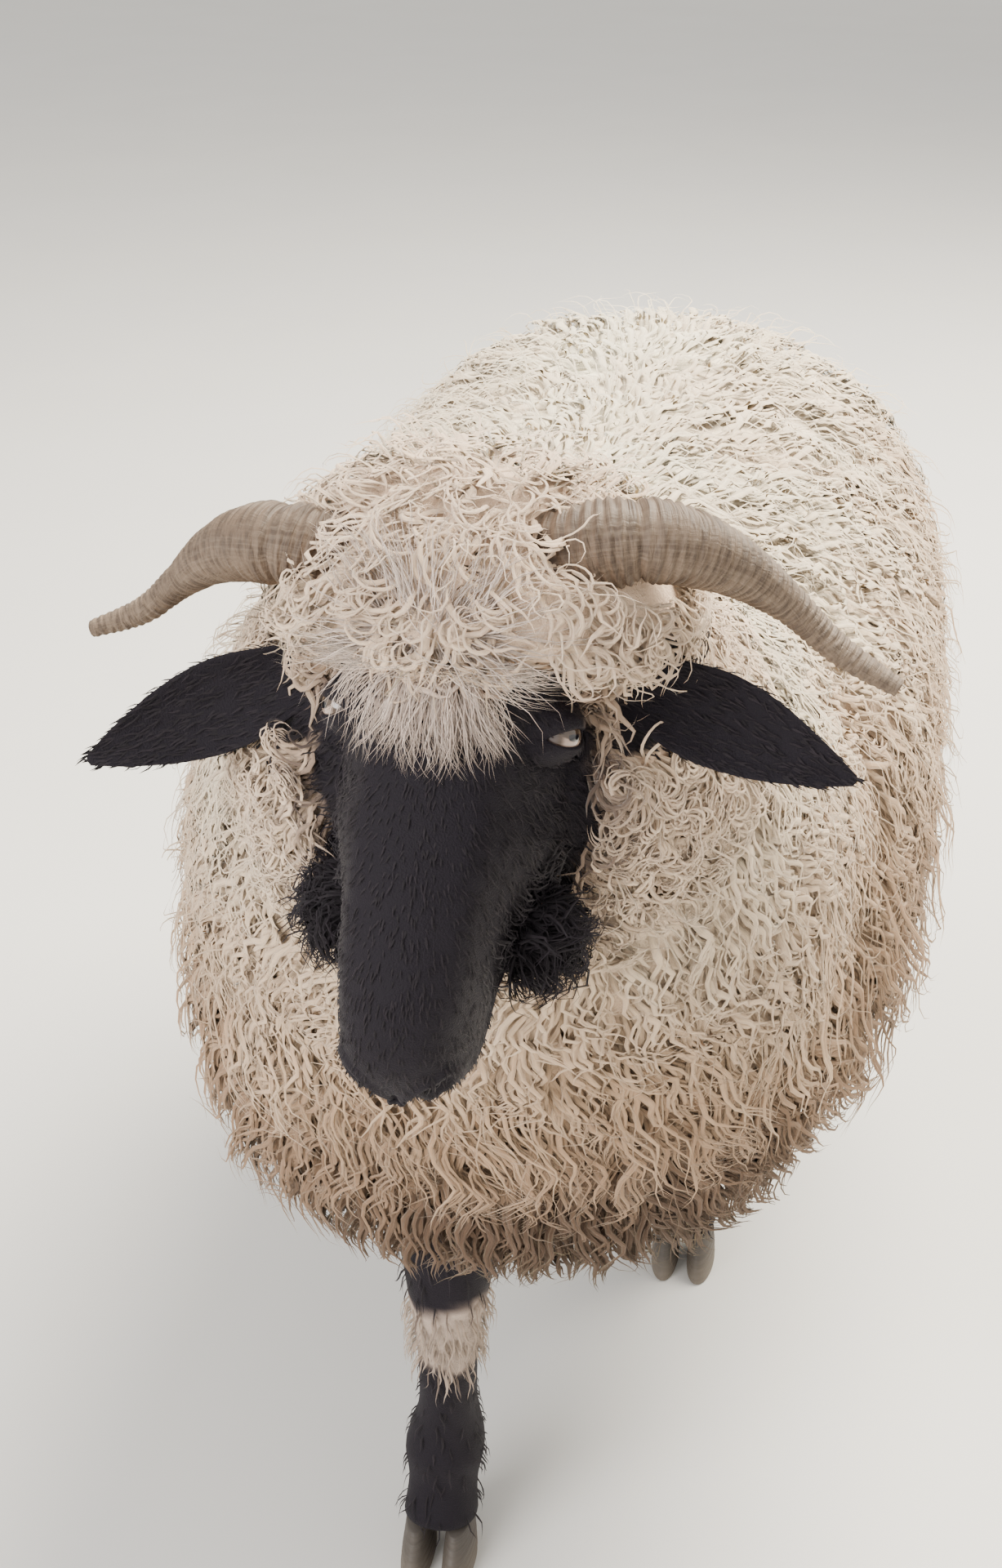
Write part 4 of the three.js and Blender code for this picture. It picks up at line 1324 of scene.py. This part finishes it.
def all_colour(points):
    ear = on_ear(points)[:, None]
    return coat_colour(points) * (1 - ear) + BLACK * ear


skin = make_skin()


# Coat

PIECE_LIMIT = 190000
PATCH = 0.003
FLOOR_CLEAR = 0.001
FRINGE_EDGE = -34
WOOL_FOOT = 314
EYE_CLEAR = 24
EYE_PARTING = np.array([0, -65.0, 26])
HORN_CLEAR = 29
# Sizes of a lock that a kind of lock needn't name
PLAIN = {"sunk": 2.0, "drop": 0.0, "swing": 0.1, "waves": 1.0, "roll": 0.0, "pull": 0.0, "soft": 0.72}


def surface_samples(mesh):
    """The corners, normals and UVs of a mesh's triangles, and their areas."""
    mesh.calc_loop_triangles()
    vertices = read(mesh.loop_triangles, "vertices", 3, np.int32)
    loops = read(mesh.loop_triangles, "loops", 3, np.int32)
    corners = mesh_points(mesh)[vertices]
    normals = mesh_normals(mesh)[vertices]
    flat = read(mesh.uv_layers[0].data, "uv", 2)[loops]
    crossed = np.cross(corners[:, 1] - corners[:, 0], corners[:, 2] - corners[:, 0])
    return corners, normals, flat, np.linalg.norm(crossed, axis=1) / 2


SURFACE = surface_samples(skin.data)


class Locks:
    """Roots on the skin for one kind of lock, closer where weigh is larger, and their random sizes.

    Neighbours share a clump, where there are clumps: they wave together and lean to its leader.
    """

    def __init__(self, count, weigh, seed, clumps=0):
        self.random = np.random.default_rng(seed)
        self.count = count
        corners, normals, flat, areas = SURFACE
        chance = areas * weigh(corners.mean(axis=1))
        chosen = self.random.choice(len(areas), count, p=chance / chance.sum())
        a = self.random.random((count, 1))
        b = self.random.random((count, 1))
        over = a + b > 1
        a = np.where(over, 1 - a, a)
        b = np.where(over, 1 - b, b)
        shares = np.stack([1 - a - b, a, b], axis=1)
        self.root = (corners[chosen] * shares).sum(axis=1)
        self.out = unit((normals[chosen] * shares).sum(axis=1))
        self.uv = (flat[chosen] * shares).sum(axis=1)
        self.height = self.root[:, 2] / MM
        self.clumps = clumps or count
        self.mine = np.arange(count)
        if clumps:
            self.find_clumps()

    def find_clumps(self):
        self.leaders = self.random.choice(self.count, self.clumps, replace=False)
        tree = KDTree(self.clumps)
        for i, leader in enumerate(self.leaders):
            tree.insert(self.root[leader], i)
        tree.balance()
        self.mine = np.array([tree.find(point)[1] for point in self.root])

    def each(self, low, high):
        """One random value for each lock."""
        return self.random.uniform(low, high, self.count)

    def clump(self, low, high):
        """One random value for each clump, given to all its locks."""
        return self.random.uniform(low, high, self.clumps)[self.mine]

    def hand(self):
        """-1 or 1 for each clump."""
        return np.where(self.random.random(self.clumps) < 0.5, -1.0, 1.0)[self.mine]

    def stray(self, size):
        return size * self.random.normal(size=(self.count, 3))

    def clump_stray(self, size):
        return size * self.random.normal(size=(self.clumps, 3))[self.mine]

    def gather(self, strength):
        """How far each lock leans towards its clump's leader."""
        return (self.root[self.leaders[self.mine]] - self.root) * strength


def grow(locks):
    """The line of each lock: it leaves the skin, lies over, swings from side to side and curls."""
    out = locks["out"]
    lie = across_of(locks["lie"], out)
    side = np.cross(out, lie)
    stations = locks["stations"]
    step = (locks["length"] * MM / stations)[:, None]
    at = locks["root"]
    points = [at]
    for k in range(stations):
        t = (k + 0.5) / stations
        wave = math.tau * locks["waves"] * t + locks["phase"]
        curl = max(t - locks["straight"], 0) / (1 - locks["straight"])
        heading = locks["swing"] * np.sin(wave) * ease(0, 0.35, t) + locks["hook"] * curl
        climb = locks["lift"] * (1 - t) ** 1.3 - locks["drop"] * t
        climb = climb + locks["roll"] * np.cos(wave) * ease(0, 0.3, t)
        flat = np.cos(heading)[:, None] * lie + np.sin(heading)[:, None] * side
        way = np.cos(climb)[:, None] * flat + np.sin(climb)[:, None] * out
        way[:, 2] -= locks["pull"] * t
        at = at + unit(way) * step
        points.append(at)
    line = np.stack(points, axis=1)
    height = np.einsum("nij,nj->ni", line - line[:, :1], out)
    if "reach" in locks:
        grown = locks["reach"] * MM / np.maximum(height.max(axis=1), 2 * MM) - 1
        line = line + out[:, None, :] * (height * grown[:, None])[..., None]
    if "gather" in locks:
        share = np.linspace(0, 1, stations + 1)[None, :, None] ** 1.2
        line = line + locks["gather"][:, None, :] * share
    line[:, 0] -= out * (locks["sunk"] * MM)
    return line


def lock_faces(count, stations):
    """The faces of closed locks of three sides, each with one more point at its tip."""
    each = 3 * stations + 1
    quads = grid_quads(stations, 3)[:, [1, 0, 3, 2]]
    last = 3 * (stations - 1)
    tip = [[last + (a + 1) % 3, last + a, each - 1] for a in range(3)]
    offsets = (np.arange(count) * each)[:, None, None]
    return (quads + offsets).reshape(-1, 4), (np.array(tip + [[0, 1, 2]]) + offsets).reshape(-1, 3)


def coat_mesh(name, locks, random):
    """A joined mesh of tapered, closed locks of three sides, with their patches in OFBake."""
    line = grow(locks)
    way = unit(np.gradient(line, axis=1))
    line[..., 2] = np.maximum(line[..., 2], FLOOR_CLEAR)
    count = len(line)
    stations = locks["stations"]
    each = 3 * stations + 1
    out = locks["out"][:, None, :]
    across = unit(np.cross(way, np.broadcast_to(out, way.shape)))
    rise = np.cross(across, way)
    share = np.linspace(0, 1, stations + 1)
    body = ((0.5 + 0.5 * ease(0, 0.3, share)) * (1 - share ** locks["taper"]))[None, :, None]
    wide = body * locks["width"][:, None, None] * MM / 2
    thick = body * locks["thick"][:, None, None] * MM
    left = line - across * wide - rise * thick * 0.4
    right = line + across * wide - rise * thick * 0.4
    rings = np.stack([left, right, line + rise * thick * 0.6], axis=2)[:, :stations]
    points = np.concatenate([rings.reshape(count, -1, 3), line[:, -1:]], axis=1)
    quads, triangles = lock_faces(count, stations)
    mesh = new_mesh(name, points.reshape(-1, 3), quads, triangles)
    facing = np.stack([-0.8 * across - 0.4 * rise, 0.8 * across - 0.4 * rise, rise], axis=2)[:, :stations]
    facing = np.concatenate([facing.reshape(count, -1, 3), way[:, -1:]], axis=1)
    facing = unit(facing * (1 - locks["soft"]) + out * locks["soft"])
    mesh.normals_split_custom_set_from_vertices(facing.reshape(-1, 3))
    along = np.append(np.repeat(share[:stations], 3), 1.0)
    sideways = np.append(np.tile([-1.0, 1.0, 0.0], stations), 0.0)
    patch = np.stack([sideways * PATCH / 2, (along - 0.5) * PATCH], axis=1)
    uv = np.clip(locks["uv"][:, None, :] + patch[None], 0, 1).reshape(-1, 2)
    corners = np.concatenate([quads.ravel(), triangles.ravel()])
    layer = mesh.uv_layers.new(name="OFBake")
    layer.data.foreach_set("uv", uv[corners].astype(np.float32).ravel())
    add_numbers(mesh, "along", np.tile(along, count))
    add_numbers(mesh, "across", np.tile(sideways, count))
    add_numbers(mesh, "tint", np.repeat(random.random(count), each))
    add_numbers(mesh, "black", np.repeat(locks["black"], each))
    add_colours(mesh, "coat", np.repeat(locks["colour"], each, axis=0))
    return mesh


def add_coat(name, kind, slot, clear=False, **sizes):
    """Makes the coat pieces of one kind of lock, split from front to back to stay small."""
    root = kind.root
    locks = {**PLAIN, "root": root, "out": kind.out, "uv": kind.uv}
    locks.update({"colour": all_colour(root), "black": all_black(root), **sizes})
    order = np.argsort(root[:, 1])
    if clear:
        order = order[kept_clear(locks)[order]]
    pieces = max(1, math.ceil(len(order) * (6 * locks["stations"] - 2) / PIECE_LIMIT))
    for i, chosen in enumerate(np.array_split(order, pieces)):
        label = name if pieces == 1 else f"{name}_{i + 1}"
        some = dict(locks)
        some.update({key: value[chosen] for key, value in locks.items() if isinstance(value, np.ndarray)})
        dress(put(label, coat_mesh(label, some, kind.random)), COATS[slot])


def hides_black(points):
    """True where wool would hide the black of the face, the eyes, the jaw tufts or the legs."""
    x, s, out = face_place(points).T
    half, low = smooth(FACE_PATCH, s).T
    edge = FRINGE_EDGE + 24 * ease(46, 32, np.abs(x)) + 6 * ripple(points, 0.02, 11)
    rim = 8 + 12 * hill(s - 100, 30)
    hidden = (s > edge) & (np.abs(x) < half - rim) & (out > low + 8)
    for hand in HANDS:
        along, up, away = in_eye(points, hand)
        hidden |= (np.hypot(along, up) < EYE_CLEAR) & (away > 4)
        centre = eye_frame(hand)[0]
        hidden |= away_from(points / MM, [centre, centre + EYE_PARTING]) < EYE_CLEAR * 0.75
        hidden |= away_from(points / MM, horn_line(hand)[2:]) < HORN_CLEAR
    return hidden | (points[:, 2] / MM < WOOL_FOOT + 14 * ease(60, 200, points[:, 0] / MM))


def kept_clear(locks):
    """Shortens each lock that would hang over the face or a foot, and drops those cut very short."""
    keep = np.ones(len(locks["root"]), bool)
    for _ in range(2):
        line = grow(locks)
        hides = hides_black(line.reshape(-1, 3)).reshape(len(line), -1)
        stops = locks["stations"] + 1
        share = np.where(hides.any(axis=1), hides.argmax(axis=1), stops) / stops
        locks["length"] = locks["length"] * share
        keep &= share > 0.15
    return keep


def crown_share(points):
    """1 on the wool of the crown and cheeks, 0 on the neck."""
    x, s, out = face_place(points).T
    return ease(-150, -120, s) * ease(-190, -160, out) * (np.abs(x) < 150)


def front_share(points):
    """1 on the chest and neck, 0 on the barrel of the body."""
    return ease(0.1, -0.25, points[:, 1])


def woolly(points):
    """1 where wool grows: not on the black of the face, the ears or the legs."""
    return (1 - all_black(points)) * (points[:, 2] > (KNEE_TOP - 6) * MM) * (on_ear(points) < 0.3)


def body_lie(locks):
    """Down the sides from the spine and a little back, swirling softly from place to place."""
    x = locks.root[:, 0] / MM
    lie = np.stack([0.5 * np.clip(x / 120, -1, 1), np.full(len(x), 0.28), np.full(len(x), -1.0)], axis=1)
    lie = across_of(lie, locks.out)
    swirl = (0.5 * ripple(locks.root, 0.07, 21) + 0.25 * ripple(locks.root, 0.025, 22))[:, None]
    return lie + 0.6 * swirl * np.cross(locks.out, lie)


def crown_lie(locks):
    """Down over the face and out to both sides from the middle of the crown."""
    lie = np.tile(face_down * 0.8, (locks.count, 1))
    lie[:, 0] += 0.9 * np.clip(face_place(locks.root)[:, 0] / 90, -1, 1)
    lie[:, 2] -= 0.15
    return lie


def body_wool():
    """The fleece of the body and neck: crimped, wavy locks whose tips curl over."""

    def weigh(points):
        on_body = woolly(points) * (1 - ease(0.2, 0.8, crown_share(points)))
        under = ease(440, 360, points[:, 2] / MM)
        return on_body * (1 - 0.75 * under) * (1 + 1.2 * front_share(points))

    locks = Locks(12600, weigh, seed=41, clumps=2600)
    each, clump = locks.each, locks.clump
    low = ease(640, 460, locks.height)
    top = ease(620, 740, locks.height)
    add_coat(
        "fleece", locks, "wool", clear=True,
        stations=8, taper=1.25, straight=0.35,
        length=(68 + 14 * low - 6 * top) * each(0.7, 1.2),
        reach=WOOL_DEPTH * clump(0.8, 1.2) * each(0.6, 1.1),
        width=(8.4 - 2.4 * front_share(locks.root)) * each(0.4, 1.3),
        thick=1.15 * each(0.7, 1.2),
        lift=0.80 * each(0.65, 1.15),
        drop=0.40 * each(0.3, 1.6),
        swing=(0.75 - 0.1 * low) * each(0.7, 1.25),
        waves=(1.8 - 0.2 * low) * clump(0.85, 1.15),
        phase=3.0 * ripple(locks.root, 0.045, 31) + clump(-1.0, 1.0) + each(-0.3, 0.3),
        roll=0.35 * each(0.4, 1.3),
        hook=clump(0.2, 2.0) * locks.hand() * each(0.6, 1.2),
        pull=0.25 + 0.25 * low,
        gather=locks.gather(0.6),
        lie=body_lie(locks) + locks.stray(0.10),
    )


def hanging_wool():
    """Long twisted locks that hang from the chest, the throat and the belly."""

    def weigh(points):
        front = ease(0.0, -0.3, points[:, 1])
        return woolly(points) * ease(600, 420, points[:, 2] / MM) * (0.55 + 0.9 * front)

    locks = Locks(3300, weigh, seed=42, clumps=430)
    each, clump = locks.each, locks.clump
    add_coat(
        "hanging_wool", locks, "wool", clear=True,
        stations=11, taper=1.5, straight=0.6,
        length=122 * clump(0.75, 1.15) * each(0.75, 1.05),
        reach=(WOOL_DEPTH + 12) * clump(0.7, 1.2) * each(0.75, 1.1),
        width=5.0 * each(0.45, 1.25),
        thick=1.8 * each(0.7, 1.2),
        lift=0.85 * each(0.8, 1.1),
        drop=0.2 * each(0.3, 1.6),
        swing=0.72 * clump(0.8, 1.2),
        waves=2.0 * clump(0.85, 1.15),
        phase=clump(0, math.tau) + each(-0.2, 0.2),
        roll=0.35 * each(0.6, 1.2),
        hook=clump(0.3, 2.6) * locks.hand(),
        pull=0.8 * clump(0.8, 1.1),
        gather=locks.gather(0.8),
        lie=body_lie(locks) + locks.stray(0.06),
    )


def crown_wool():
    """Ringlets and tight curls over the poll, the cheeks and down to the eyes."""

    def weigh(points):
        x, s, out = face_place(points).T
        cheek = hill(np.hypot(s, out + 95), 42) * ease(50, 66, np.abs(x))
        return woolly(points) * ease(0.3, 0.7, crown_share(points)) * (1 + 5 * cheek)

    locks = Locks(2600, weigh, seed=43, clumps=440)
    each, clump = locks.each, locks.clump
    add_coat(
        "ringlets", locks, "wool", clear=True,
        stations=12, taper=1.4, straight=0.2, swing=0.2, waves=1.5, pull=0.08,
        length=46 * clump(0.8, 1.2) * each(0.9, 1.05),
        reach=14 * clump(0.75, 1.2) * each(0.8, 1.05),
        width=3.2 * each(0.5, 1.3),
        thick=1.05 * each(0.7, 1.2),
        lift=1.05 * each(0.7, 1.2),
        drop=0.35 * each(0.3, 1.6),
        phase=clump(0, math.tau),
        roll=0.35 * each(0.5, 1.2),
        hook=clump(3.8, 6.4) * locks.hand() * each(0.94, 1.06),
        gather=locks.gather(0.72),
        lie=crown_lie(locks) + locks.clump_stray(0.5),
    )
    locks = Locks(2600, weigh, seed=44, clumps=600)
    each, clump = locks.each, locks.clump
    add_coat(
        "crown", locks, "wool", clear=True,
        stations=7, taper=1.3, straight=0.3, pull=0.08,
        length=40 * each(0.75, 1.25),
        reach=10 * clump(0.7, 1.2) * each(0.6, 1.1),
        width=5.0 * each(0.4, 1.3),
        thick=1.1 * each(0.7, 1.2),
        lift=0.9 * each(0.7, 1.2),
        drop=0.3 * each(0.3, 1.6),
        swing=0.7 * each(0.6, 1.3),
        waves=1.5 * clump(0.8, 1.2),
        phase=clump(0, math.tau),
        roll=0.4 * each(0.5, 1.2),
        hook=clump(0.5, 2.4) * locks.hand(),
        gather=locks.gather(0.4),
        lie=crown_lie(locks) + locks.stray(0.4),
    )


def flyaway_wool():
    """Fine single wisps that stand out of the fleece and soften its outline."""
    locks = Locks(2600, lambda points: woolly(points) * (1 + 1.5 * crown_share(points)), seed=45)
    each = locks.each
    low = ease(640, 460, locks.height)
    crown = crown_share(locks.root)
    on_crown = crown[:, None]
    add_coat(
        "wisps", locks, "wool", clear=True,
        stations=8, taper=2.0, straight=0.35,
        length=(64 + 14 * low - 22 * crown) * each(0.8, 1.2),
        reach=(WOOL_DEPTH + 11 - 3 * crown) * each(0.8, 1.25),
        width=1.3 * each(0.6, 1.3),
        thick=0.8 * each(0.7, 1.2),
        lift=1.12 * each(0.8, 1.1),
        drop=0.1 * each(0.3, 1.6),
        swing=0.6 * each(0.6, 1.3),
        waves=1.2 * each(0.8, 1.2),
        phase=each(0, math.tau),
        roll=0.3 * each(0.4, 1.3),
        hook=each(0.5, 2.6) * locks.hand(),
        pull=0.2 + 0.3 * low,
        lie=(body_lie(locks) + locks.stray(0.3)) * (1 - on_crown)
        + (crown_lie(locks) + locks.stray(0.4)) * on_crown,
    )


def near_eye(points):
    """1 on an eye and its opening, where no hair grows."""
    found = np.zeros(len(points))
    for hand in HANDS:
        along, up, out = in_eye(points, hand)
        found = np.maximum(found, (out > -6) & (np.hypot(along / 15, up / 7.5) < 1))
    return found


def eye_distance(points):
    """How far each point is from the centre of the nearer eye, in millimetres."""
    return np.min([np.linalg.norm(points / MM - eye_frame(hand)[0], axis=1) for hand in HANDS], axis=0)


def on_face(points):
    """1 where black hair grows on the head."""
    return all_black(points) * (points[:, 2] > 0.45) * (on_ear(points) < 0.2) * (1 - near_eye(points))


def face_lie(points):
    """Short hair runs down the bridge of the nose and out and back over the cheeks."""
    x = face_place(points)[:, 0]
    back = ease(8, 40, np.abs(x))[:, None]
    sideways = np.outer(np.clip(x / 40, -1, 1), face_side) * 0.5
    return face_down * (1 - 0.5 * back) + sideways - face_out * 0.5 * back


def face_hair():
    """Short, close black hair on the face."""

    def weigh(points):
        return on_face(points) * (1 - 0.9 * ease(186, 192, face_place(points)[:, 1]))

    locks = Locks(4400, weigh, seed=51)
    each = locks.each
    x, s, out = face_place(locks.root).T
    long = ease(130, 0, s) * ease(20, 50, np.abs(x))
    by_eye = ease(16, 36, eye_distance(locks.root))
    add_coat(
        "face_hair", locks, "black_hair",
        stations=3, sunk=0.4, taper=1.6, straight=0.5, drop=0.10,
        length=(6.5 + 5.0 * long) * (0.4 + 0.6 * by_eye) * each(0.7, 1.25),
        width=1.25 * each(0.7, 1.3),
        thick=0.5 * each(0.7, 1.2),
        lift=0.42 * each(0.5, 1.3),
        phase=each(0, math.tau),
        hook=each(-0.3, 0.3),
        lie=face_lie(locks.root) + locks.stray(0.16),
    )


def cheek_wool():
    """The fluffier black wool round the eyes and in the tufts of the jaws."""

    def weigh(points):
        x, s, out = face_place(points).T
        eye = hill(np.hypot(s - 6, out + 88), 44)
        jaw = 4 * hill(np.hypot(s - 98, out + 84), 30)
        return on_face(points) * ease(34, 48, np.abs(x)) * (eye + jaw)

    locks = Locks(2400, weigh, seed=52, clumps=300)
    each, clump = locks.each, locks.clump
    x, s, out = face_place(locks.root).T
    jaw = hill(np.hypot(s - 98, out + 84), 36)
    by_eye = ease(16, 38, eye_distance(locks.root))
    outward = np.outer(np.sign(x) * 0.6, face_side)
    add_coat(
        "cheek_wool", locks, "black_hair",
        stations=6, sunk=1.0, taper=1.4, straight=0.2, drop=0.2, waves=1.3, roll=0.3, pull=0.12,
        lie=face_lie(locks.root) + outward + locks.clump_stray(0.3) + locks.stray(0.12),
        length=(16 + 25 * jaw) * (0.3 + 0.7 * by_eye) * each(0.35, 1.25),
        reach=(4 + 11 * jaw) * clump(0.5, 1.3) * each(0.6, 1.2),
        width=(1.4 + 0.5 * jaw) * each(0.5, 1.3),
        thick=(0.7 + 0.3 * jaw) * each(0.7, 1.2),
        lift=(0.5 + 0.3 * jaw) * clump(0.5, 1.3),
        swing=0.7 * clump(0.5, 1.3),
        phase=clump(0, math.tau),
        hook=clump(-3.5, 3.5) * (0.4 + jaw),
        gather=locks.gather(0.5),
    )


def forelock():
    """Fine pale hairs that fan out of the crown over the forehead, white at their tips."""

    def weigh(points):
        x, s, out = face_place(points).T
        within = np.abs(x + 5) < 30 + 4 * ripple(points, 0.02, 8)
        return within * ease(-62, -50, s) * ease(16, -14, s) * (out > -44)

    locks = Locks(1900, weigh, seed=53, clumps=240)
    each, clump = locks.each, locks.clump
    x, s, out = face_place(locks.root).T
    spread = np.clip((x + 5) / 30, -1, 1)
    down = ease(-48, -30, s)[:, None]
    reach = 34 - 12 * np.abs(spread) ** 2 - s
    add_coat(
        "forelock", locks, "wool",
        stations=5, sunk=1.0, taper=1.3, straight=0.5, swing=0.3, roll=0.08, pull=0.05,
        length=np.clip(reach, 20, 66) * each(0.3, 1.0) * clump(0.8, 1.1),
        width=0.75 * each(0.6, 1.3),
        thick=0.55 * each(0.7, 1.2),
        lift=0.70 * each(0.4, 1.3),
        drop=0.35 * each(0.4, 1.3),
        phase=clump(0, math.tau),
        hook=clump(-0.7, 0.7),
        gather=locks.gather(0.5),
        colour=FORELOCK * (each(0.5, 1.3) * (1 - 0.65 * ease(-22, 12, s)))[:, None],
        black=np.zeros(locks.count),
        lie=face_down * (2 * down - 0.8) + np.outer(0.8 * spread, face_side) + locks.stray(0.2),
    )


def ear_hair():
    """Short black hair along both ears."""
    locks = Locks(2000, lambda points: (on_ear(points) > 0.5).astype(float), seed=54)
    each = locks.each
    lie = np.zeros((locks.count, 3))
    for name in EARS:
        along = ear_axes(name)[2]
        lie[np.sign(locks.root[:, 0]) == np.sign(along[0])] = along
    add_coat(
        "ear_hair", locks, "black_hair",
        stations=3, sunk=0.4, taper=1.6, straight=0.5, drop=0.05,
        length=8.5 * each(0.6, 1.3),
        width=1.4 * each(0.7, 1.3),
        thick=0.5 * each(0.7, 1.2),
        lift=0.38 * each(0.4, 1.5),
        phase=each(0, math.tau),
        hook=each(-0.3, 0.3),
        lie=lie + locks.stray(0.2),
    )


def leg_hair():
    """Black hair on knees, hocks and feet, and the white tufts that fall over the feet."""

    def black_leg(points):
        return (blackness(points) > 0.5) * (points[:, 2] < 0.34) * (points[:, 2] > 0.034)

    def band(points):
        height = points[:, 2] / MM
        return (blackness(points) < 0.5) * (height < KNEE_FOOT + 8) * (height > BAND_FOOT - 4)

    locks = Locks(2200, black_leg, seed=55)
    each = locks.each
    add_coat(
        "foot_hair", locks, "black_hair",
        stations=4, sunk=0.5, taper=1.7, straight=0.4, swing=0.25, roll=0.1,
        length=(16 + 10 * hill(locks.height - 60, 30) + 6 * hill(locks.height - 290, 25)) * each(0.6, 1.25),
        width=2.0 * each(0.6, 1.3),
        thick=0.8 * each(0.7, 1.2),
        lift=0.55 * each(0.5, 1.4),
        phase=each(0, math.tau),
        hook=each(-0.6, 0.6),
        lie=np.array([0, 0.05, -1.0]) + locks.stray(0.16),
    )
    locks = Locks(1200, band, seed=56)
    each = locks.each
    add_coat(
        "band_wool", locks, "wool",
        stations=5, sunk=0.5, taper=1.6, straight=0.4, swing=0.3, roll=0.15, pull=0.1,
        length=25 * each(0.6, 1.3),
        width=2.0 * each(0.6, 1.3),
        thick=1.0 * each(0.7, 1.2),
        lift=0.80 * each(0.6, 1.3),
        phase=each(0, math.tau),
        hook=each(-0.7, 0.7),
        lie=np.array([0, 0.0, -1.0]) + locks.stray(0.14),
    )


COATS = {"wool": wool_finish(), "black_hair": hair_finish()}
body_wool()
hanging_wool()
crown_wool()
flyaway_wool()
face_hair()
cheek_wool()
forelock()
ear_hair()
leg_hair()


# Floor and light

FLOOR_REACH = 40


def make_floor():
    corners = np.array([(-1, -1, 0), (1, -1, 0), (1, 1, 0), (-1, 1, 0)], float) * FLOOR_REACH
    floor = put("floor", new_mesh("floor", corners, [[0, 1, 2, 3]], []))
    floor.data.materials.append(floor_finish())


def area_light(name, place, target, size, power, colour):
    data = bpy.data.lights.new(name, "AREA")
    data.shape = "DISK"
    data.size = size
    data.energy = power
    data.color = colour
    way = unit(np.array(target, float) - np.array(place, float))
    across = unit(np.cross(way, (0, 0, 1)))
    aim(name, data, place, across, np.cross(across, way), way)


def make_light():
    world = bpy.data.worlds.new("studio")
    world.use_nodes = True
    back = world.node_tree.nodes["Background"]
    back.inputs["Color"].default_value = (1.0, 0.975, 0.94, 1)
    back.inputs["Strength"].default_value = 1.05
    bpy.context.scene.world = world
    area_light("key", (1.2, 1.6, 3.2), (0, 0, 0.5), size=2.6, power=500, colour=(1.0, 0.93, 0.80))
    area_light("fill", (-1.8, -2.6, 2.2), (0, -0.3, 0.5), size=2.4, power=150, colour=(1.0, 0.97, 0.95))


make_horns()
make_eyes()
make_hooves()
make_floor()
make_light()

flesh = ["torso_front", "torso_middle", "torso_rear", "neck", "topknot", "head", "tail"]
flesh += ["ear_left", "ear_right"]
for leg in LEGS:
    joint = "hock" if leg.startswith("hind") else "knee"
    flesh += [leg, f"{leg}_{joint}", f"{leg}_cannon", f"{leg}_foot"]
dress(skin, skin_finish(), replaced=flesh)
